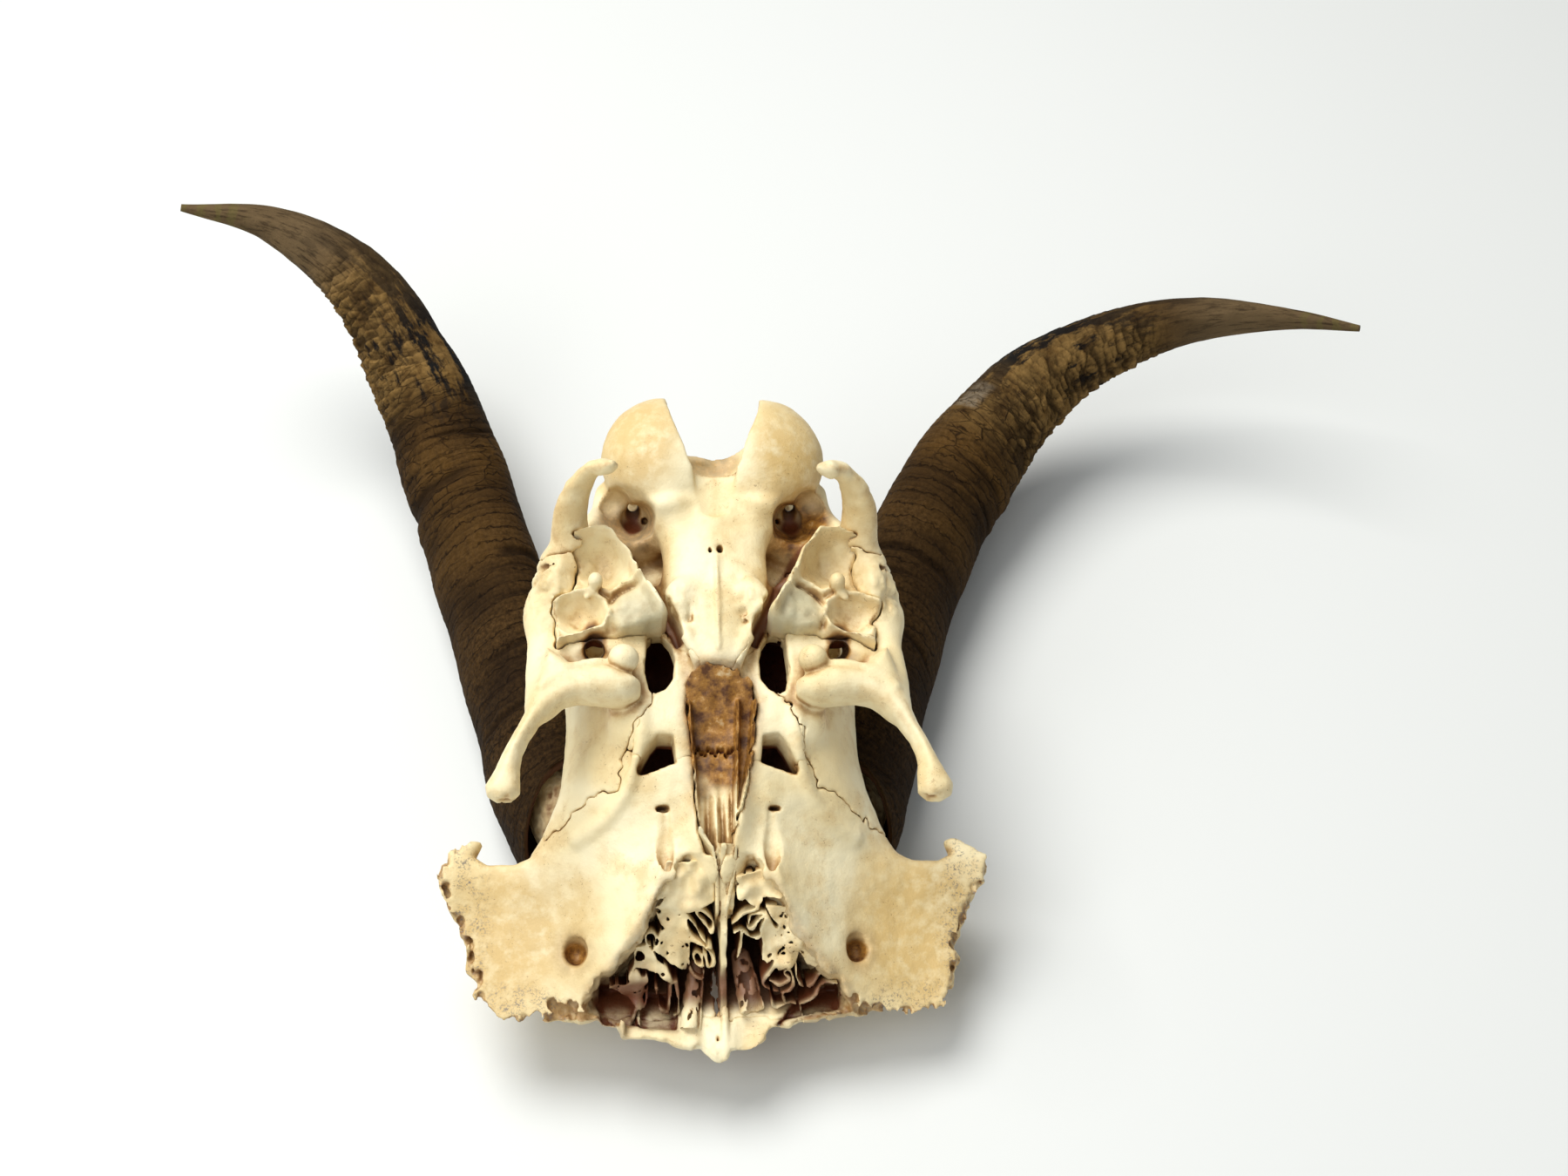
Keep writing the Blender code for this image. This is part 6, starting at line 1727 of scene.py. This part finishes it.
@cache
def horn_keratin():
    """Weathered goat horn: dull keratin, ringed and dark below, flaked tan above, streaked at the tip."""
    look = bpy.context.scene.skull_horn
    made, tree, shader = material("horn_keratin")
    # Millimetres along the horn and across it, as if it were straightened
    straight = add(tree, FIELD, out="Vector", attribute_name="straight")
    along, ringed, flaked, groove_shade_and_dirt, hollow, mouth, scraped = (
        add(tree, FIELD, out="Fac", attribute_name=name)
        for name in ("along", "ringed", "flaked", "groove_shade_and_dirt", "hollow", "mouth", "scraped")
    )
    drawn = add(tree, MAPPING, {"Vector": straight, "Scale": (0.06, 1.0, 1.0)})
    streaky = add(tree, MAPPING, {"Vector": straight, "Scale": (0.35, 1.0, 1.0)})
    fibres, blotch, broad, middle, fine = (
        add(tree, NOISE, dict(zip(NOISE_SOCKETS, row)))
        for row in ((drawn, 0.9, 6.0, 0.7), (streaky, 0.16, 7.0, 0.68), (straight, 0.045, 2.0),
                    (straight, 0.22, 5.0, 0.6), (straight, 0.9, 5.0, 0.68))
    )
    unbroken = (blotch, 0.34, 0.52)
    # Hairline growth rings: thin dark lines about 2.6 mm apart, swaying and broken
    length = add(tree, "ShaderNodeSeparateXYZ", {"Vector": straight})
    sway = add(tree, MATHS, {0: middle, 1: 6.0, 2: length}, operation="MULTIPLY_ADD")
    sway = add(tree, MATHS, {0: fine, 1: 1.1, 2: sway}, operation="MULTIPLY_ADD")
    wave = add(tree, MATHS, {0: sway, 1: 2.6}, operation="PINGPONG")
    line = share_of(tree, (wave, 0.36, 0.0), unbroken, ringed)
    # Cracks round dry plates, wider than long
    shake = add(tree, NOISE, {"Vector": straight, "Scale": 0.3, "Detail": 3.0}, 1)
    shaken = add(tree, MIX, {0: 0.5, 4: straight, 5: shake}, 1, data_type="VECTOR", clamp_factor=False)
    pulled = add(tree, MAPPING, {"Vector": shaken, "Scale": (0.5, 0.2, 0.2)})
    cells = add(tree, "ShaderNodeTexVoronoi", {"Vector": pulled, "Scale": 1.0}, feature="DISTANCE_TO_EDGE")
    crack = share_of(tree, (cells, 0.035, 0.0), (along, 0.4, 0.5, 1.0, SOFT), ringed, unbroken)
    lines = add(tree, MATHS, {0: line, 1: crack}, operation="MAXIMUM")
    outer = add(tree, RANGE, {"Value": along, "From Min": 0.6, "From Max": 0.8, "To Min": 0.25})
    swell = add(tree, MATHS, {0: hollow, 1: -0.24, 2: blotch}, operation="MULTIPLY_ADD")
    bands = add(tree, MATHS, {0: sway, 1: 2.2}, operation="PINGPONG")
    colour = layered(tree, look.base, (
        # Brown that pales along the horn, with broad darker bands
        (look.middle, (along, 0.12, 0.55, 1.0, SOFT)),
        (look.band, (broad, 0.42, 0.62, 0.6), ringed),
        (look.dust, (fine, 0.35, 0.7, 0.45)),
        # Flaked plates, tan
        (look.flake, (middle, 0.3, 0.55), flaked),
        # Brown, streaked along its length, towards the tip
        (look.tip, (along, 0.76, 0.86, 1.0, SOFT)),
        (look.fibre, (fibres, 0.5, 0.66, 0.8), outer),
        # Black crusts on the swelling side
        (look.crust, (swell, 0.34, 0.41), (along, 0.9, 0.7), (along, 0.54, 0.62)),
        # Green-gold bands near the tip, and one pale scrape
        (look.gold, (along, 0.925, 0.945), (bands, 1.1, 1.5), 0.4),
        (look.scrape, (fine, 0.3, 0.5), scraped),
        # Painted shade and grime in the grooves; grime in the rings and cracks
        (look.dirt_and_groove_shade, groove_shade_and_dirt, 0.75),
        (look.dirt_and_groove_shade, lines, 0.95),
        (look.mouth, mouth),
    ))
    rough = add(tree, RANGE, {"Value": fine, "To Min": 0.6, "To Max": 0.85})
    height = add(tree, MATHS, {0: lines, 1: -1.0, 2: fine}, operation="MULTIPLY_ADD")
    height = add(tree, MATHS, {0: fibres, 1: 0.6, 2: height}, operation="MULTIPLY_ADD")
    finish(tree, shader, colour, rough, {"Height": height, "Strength": 0.7, "Distance": 0.0005})
    shader.inputs["Specular IOR Level"].default_value = 0.03
    return made


# Camera, light and floor: pixels, millimetres for the camera, metres for lights and floor

IMAGE = (1800, 1350)
FOCAL_PIXELS = 2500.0
DISTANCE = 543.0
ELEVATION = 50.0
ORIGIN_PIXEL = (819.5, 549.0)
SENSOR_MM = 36.0
LIT_PLACE = (0, 0, 0.05)
FLOOR_HALF = 4.0


def place_camera():
    """A 50 mm lens at the photograph's angle, with the skull's origin on its own pixel."""
    tilt = math.radians(ELEVATION)
    right = np.array([1.0, 0.0, 0.0])
    back = np.array([0.0, -math.cos(tilt), math.sin(tilt)])
    rot = np.stack([right, np.cross(back, right), back], 1)
    seen = np.array([
        (ORIGIN_PIXEL[0] - IMAGE[0] / 2) / FOCAL_PIXELS * DISTANCE,
        (IMAGE[1] / 2 - ORIGIN_PIXEL[1]) / FOCAL_PIXELS * DISTANCE,
        -DISTANCE,
    ])
    data = bpy.data.cameras.new("camera")
    data.sensor_width = SENSOR_MM
    data.lens = FOCAL_PIXELS * SENSOR_MM / IMAGE[0]
    camera = bpy.data.objects.new("camera", data)
    bpy.context.scene.collection.objects.link(camera)
    matrix = np.eye(4)
    matrix[:3, :3] = rot
    matrix[:3, 3] = (PLACE - rot @ seen) * MM
    camera.matrix_world = Matrix(matrix.tolist())
    bpy.context.scene.camera = camera


def area_light(name, place, size, power, tint):
    """A round soft lamp that looks at the skull."""
    data = bpy.data.lights.new(name, "AREA")
    data.shape = "DISK"
    data.size = size
    data.energy = power
    data.color = tint
    light = bpy.data.objects.new(name, data)
    light.location = place
    light.rotation_euler = (Vector(place) - Vector(LIT_PLACE)).to_track_quat("Z", "Y").to_euler()
    bpy.context.scene.collection.objects.link(light)


def stage():
    """A flat white board, one lamp, one window, light all round, and the camera."""
    look = bpy.context.scene.skull_stage
    floor = bpy.data.meshes.new("floor")
    corners = [(x * FLOOR_HALF, y * FLOOR_HALF, 0) for x, y in ((-1, -1), (1, -1), (1, 1), (-1, 1))]
    floor.from_pydata(corners, [], [(0, 1, 2, 3)])
    obj = bpy.data.objects.new("floor", floor)
    bpy.context.scene.collection.objects.link(obj)
    made, tree, shader = material("white_board")
    place = add(tree, "ShaderNodeTexCoord", out="Object")
    cloudy = add(tree, NOISE, {"Vector": place, "Scale": 2.0, "Detail": 2.0})
    shades = {0: cloudy, 6: tuple(look.board), 7: tuple(look.board_cloud)}
    colour = add(tree, MIX, shades, 2, data_type="RGBA")
    tree.links.new(colour, shader.inputs["Base Color"])
    shader.inputs["Roughness"].default_value = 0.7
    floor.materials.append(made)
    area_light("lamp", (-0.4, 0.3, 1.2), 0.85, look.lamp_power, (1.0, 0.985, 0.955))
    area_light("window", (-0.5, -0.6, 0.95), 1.0, look.window_power, (0.97, 0.99, 1.0))
    world = bpy.data.worlds.new("room")
    world.use_nodes = True
    world.node_tree.nodes["Background"].inputs[0].default_value = tuple(look.room)
    world.node_tree.nodes["Background"].inputs[1].default_value = look.room_strength
    bpy.context.scene.world = world
    bpy.context.scene.view_settings.view_transform = "Standard"
    place_camera()


def horns():
    """Both sheaths, each along its own path."""
    sizes = bpy.context.scene.skull_sizes
    share = 1
    for side, path, widths in (("L", LEFT_HORN, LEFT_HALF_WIDTHS), ("R", RIGHT_HORN, RIGHT_HALF_WIDTHS)):
        counts = sizes.horn_rings // share, sizes.horn_sides // share
        points, faces, attributes = horn_piece(side, path, widths, *counts)
        obj = mesh_piece("horn_" + side, points, faces, "horn_sheath_" + side, "horn", attributes)
        obj.data.materials.append(horn_keratin())


# Operators and panel

class SKULL_OT_cranium(Operator):
    """Makes the bones of the braincase, the base and the forehead, parted at their sutures"""

    bl_idname = "skull.cranium"
    bl_label = "Cranium"

    def execute(self, context):
        cranium()
        return {"FINISHED"}


class SKULL_OT_ploughshare(Operator):
    """Makes the stained trough of the ploughshare bone, and the septum"""

    bl_idname = "skull.ploughshare"
    bl_label = "Ploughshare bone"

    def execute(self, context):
        ploughshare()
        return {"FINISHED"}


class SKULL_OT_drum_bones(Operator):
    """Makes the two ear drum bones"""

    bl_idname = "skull.drum_bones"
    bl_label = "Ear drum bones"

    def execute(self, context):
        drum_bones()
        return {"FINISHED"}


class SKULL_OT_sieve_bones(Operator):
    """Makes the broken sieve bone in its two halves"""

    bl_idname = "skull.sieve_bones"
    bl_label = "Sieve bone"

    def execute(self, context):
        sieve_bones()
        return {"FINISHED"}


class SKULL_OT_scroll_bones(Operator):
    """Makes the two rolled tubes low in the nose"""

    bl_idname = "skull.scroll_bones"
    bl_label = "Scroll bones"

    def execute(self, context):
        scroll_bones()
        return {"FINISHED"}


class SKULL_OT_horns(Operator):
    """Makes the two horn sheaths"""

    bl_idname = "skull.horns"
    bl_label = "Horns"

    def execute(self, context):
        horns()
        return {"FINISHED"}


class SKULL_OT_stage(Operator):
    """Sets the white board, the lights and the camera"""

    bl_idname = "skull.stage"
    bl_label = "Stage"

    def execute(self, context):
        stage()
        return {"FINISHED"}


STEPS = (
    SKULL_OT_cranium, SKULL_OT_ploughshare, SKULL_OT_drum_bones, SKULL_OT_sieve_bones, SKULL_OT_scroll_bones,
    SKULL_OT_horns, SKULL_OT_stage,
)
GROUPS = {
    "skull_sizes": SkullSizes, "skull_bone": BoneFinish, "skull_horn": HornFinish, "skull_stage": StageLook,
}


class SKULL_PT_panel(Panel):
    """Lists the skull's sizes, colours and pieces"""

    bl_idname = "SKULL_PT_panel"
    bl_label = "Goat skull"
    bl_space_type = "VIEW_3D"
    bl_region_type = "UI"
    bl_category = "Skull"

    def draw(self, context):
        for key, group in GROUPS.items():
            box = self.layout.box()
            for value in group.__annotations__:
                box.prop(getattr(context.scene, key), value)
        for step in STEPS:
            self.layout.operator(step.bl_idname)


def register():
    """Makes the classes and the scene's settings known to Blender."""
    for item in (*GROUPS.values(), *STEPS, SKULL_PT_panel):
        bpy.utils.register_class(item)
    for key, group in GROUPS.items():
        setattr(bpy.types.Scene, key, PointerProperty(type=group))


def unregister():
    """Takes them away again."""
    for key in GROUPS:
        delattr(bpy.types.Scene, key)
    for item in (SKULL_PT_panel, *STEPS[::-1], *GROUPS.values()):
        bpy.utils.unregister_class(item)


def main():
    """Registers the classes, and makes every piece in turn."""
    register()
    bpy.ops.skull.cranium()
    bpy.ops.skull.ploughshare()
    bpy.ops.skull.drum_bones()
    bpy.ops.skull.sieve_bones()
    bpy.ops.skull.scroll_bones()
    bpy.ops.skull.horns()
    bpy.ops.skull.stage()


if __name__ == "__main__":
    main()
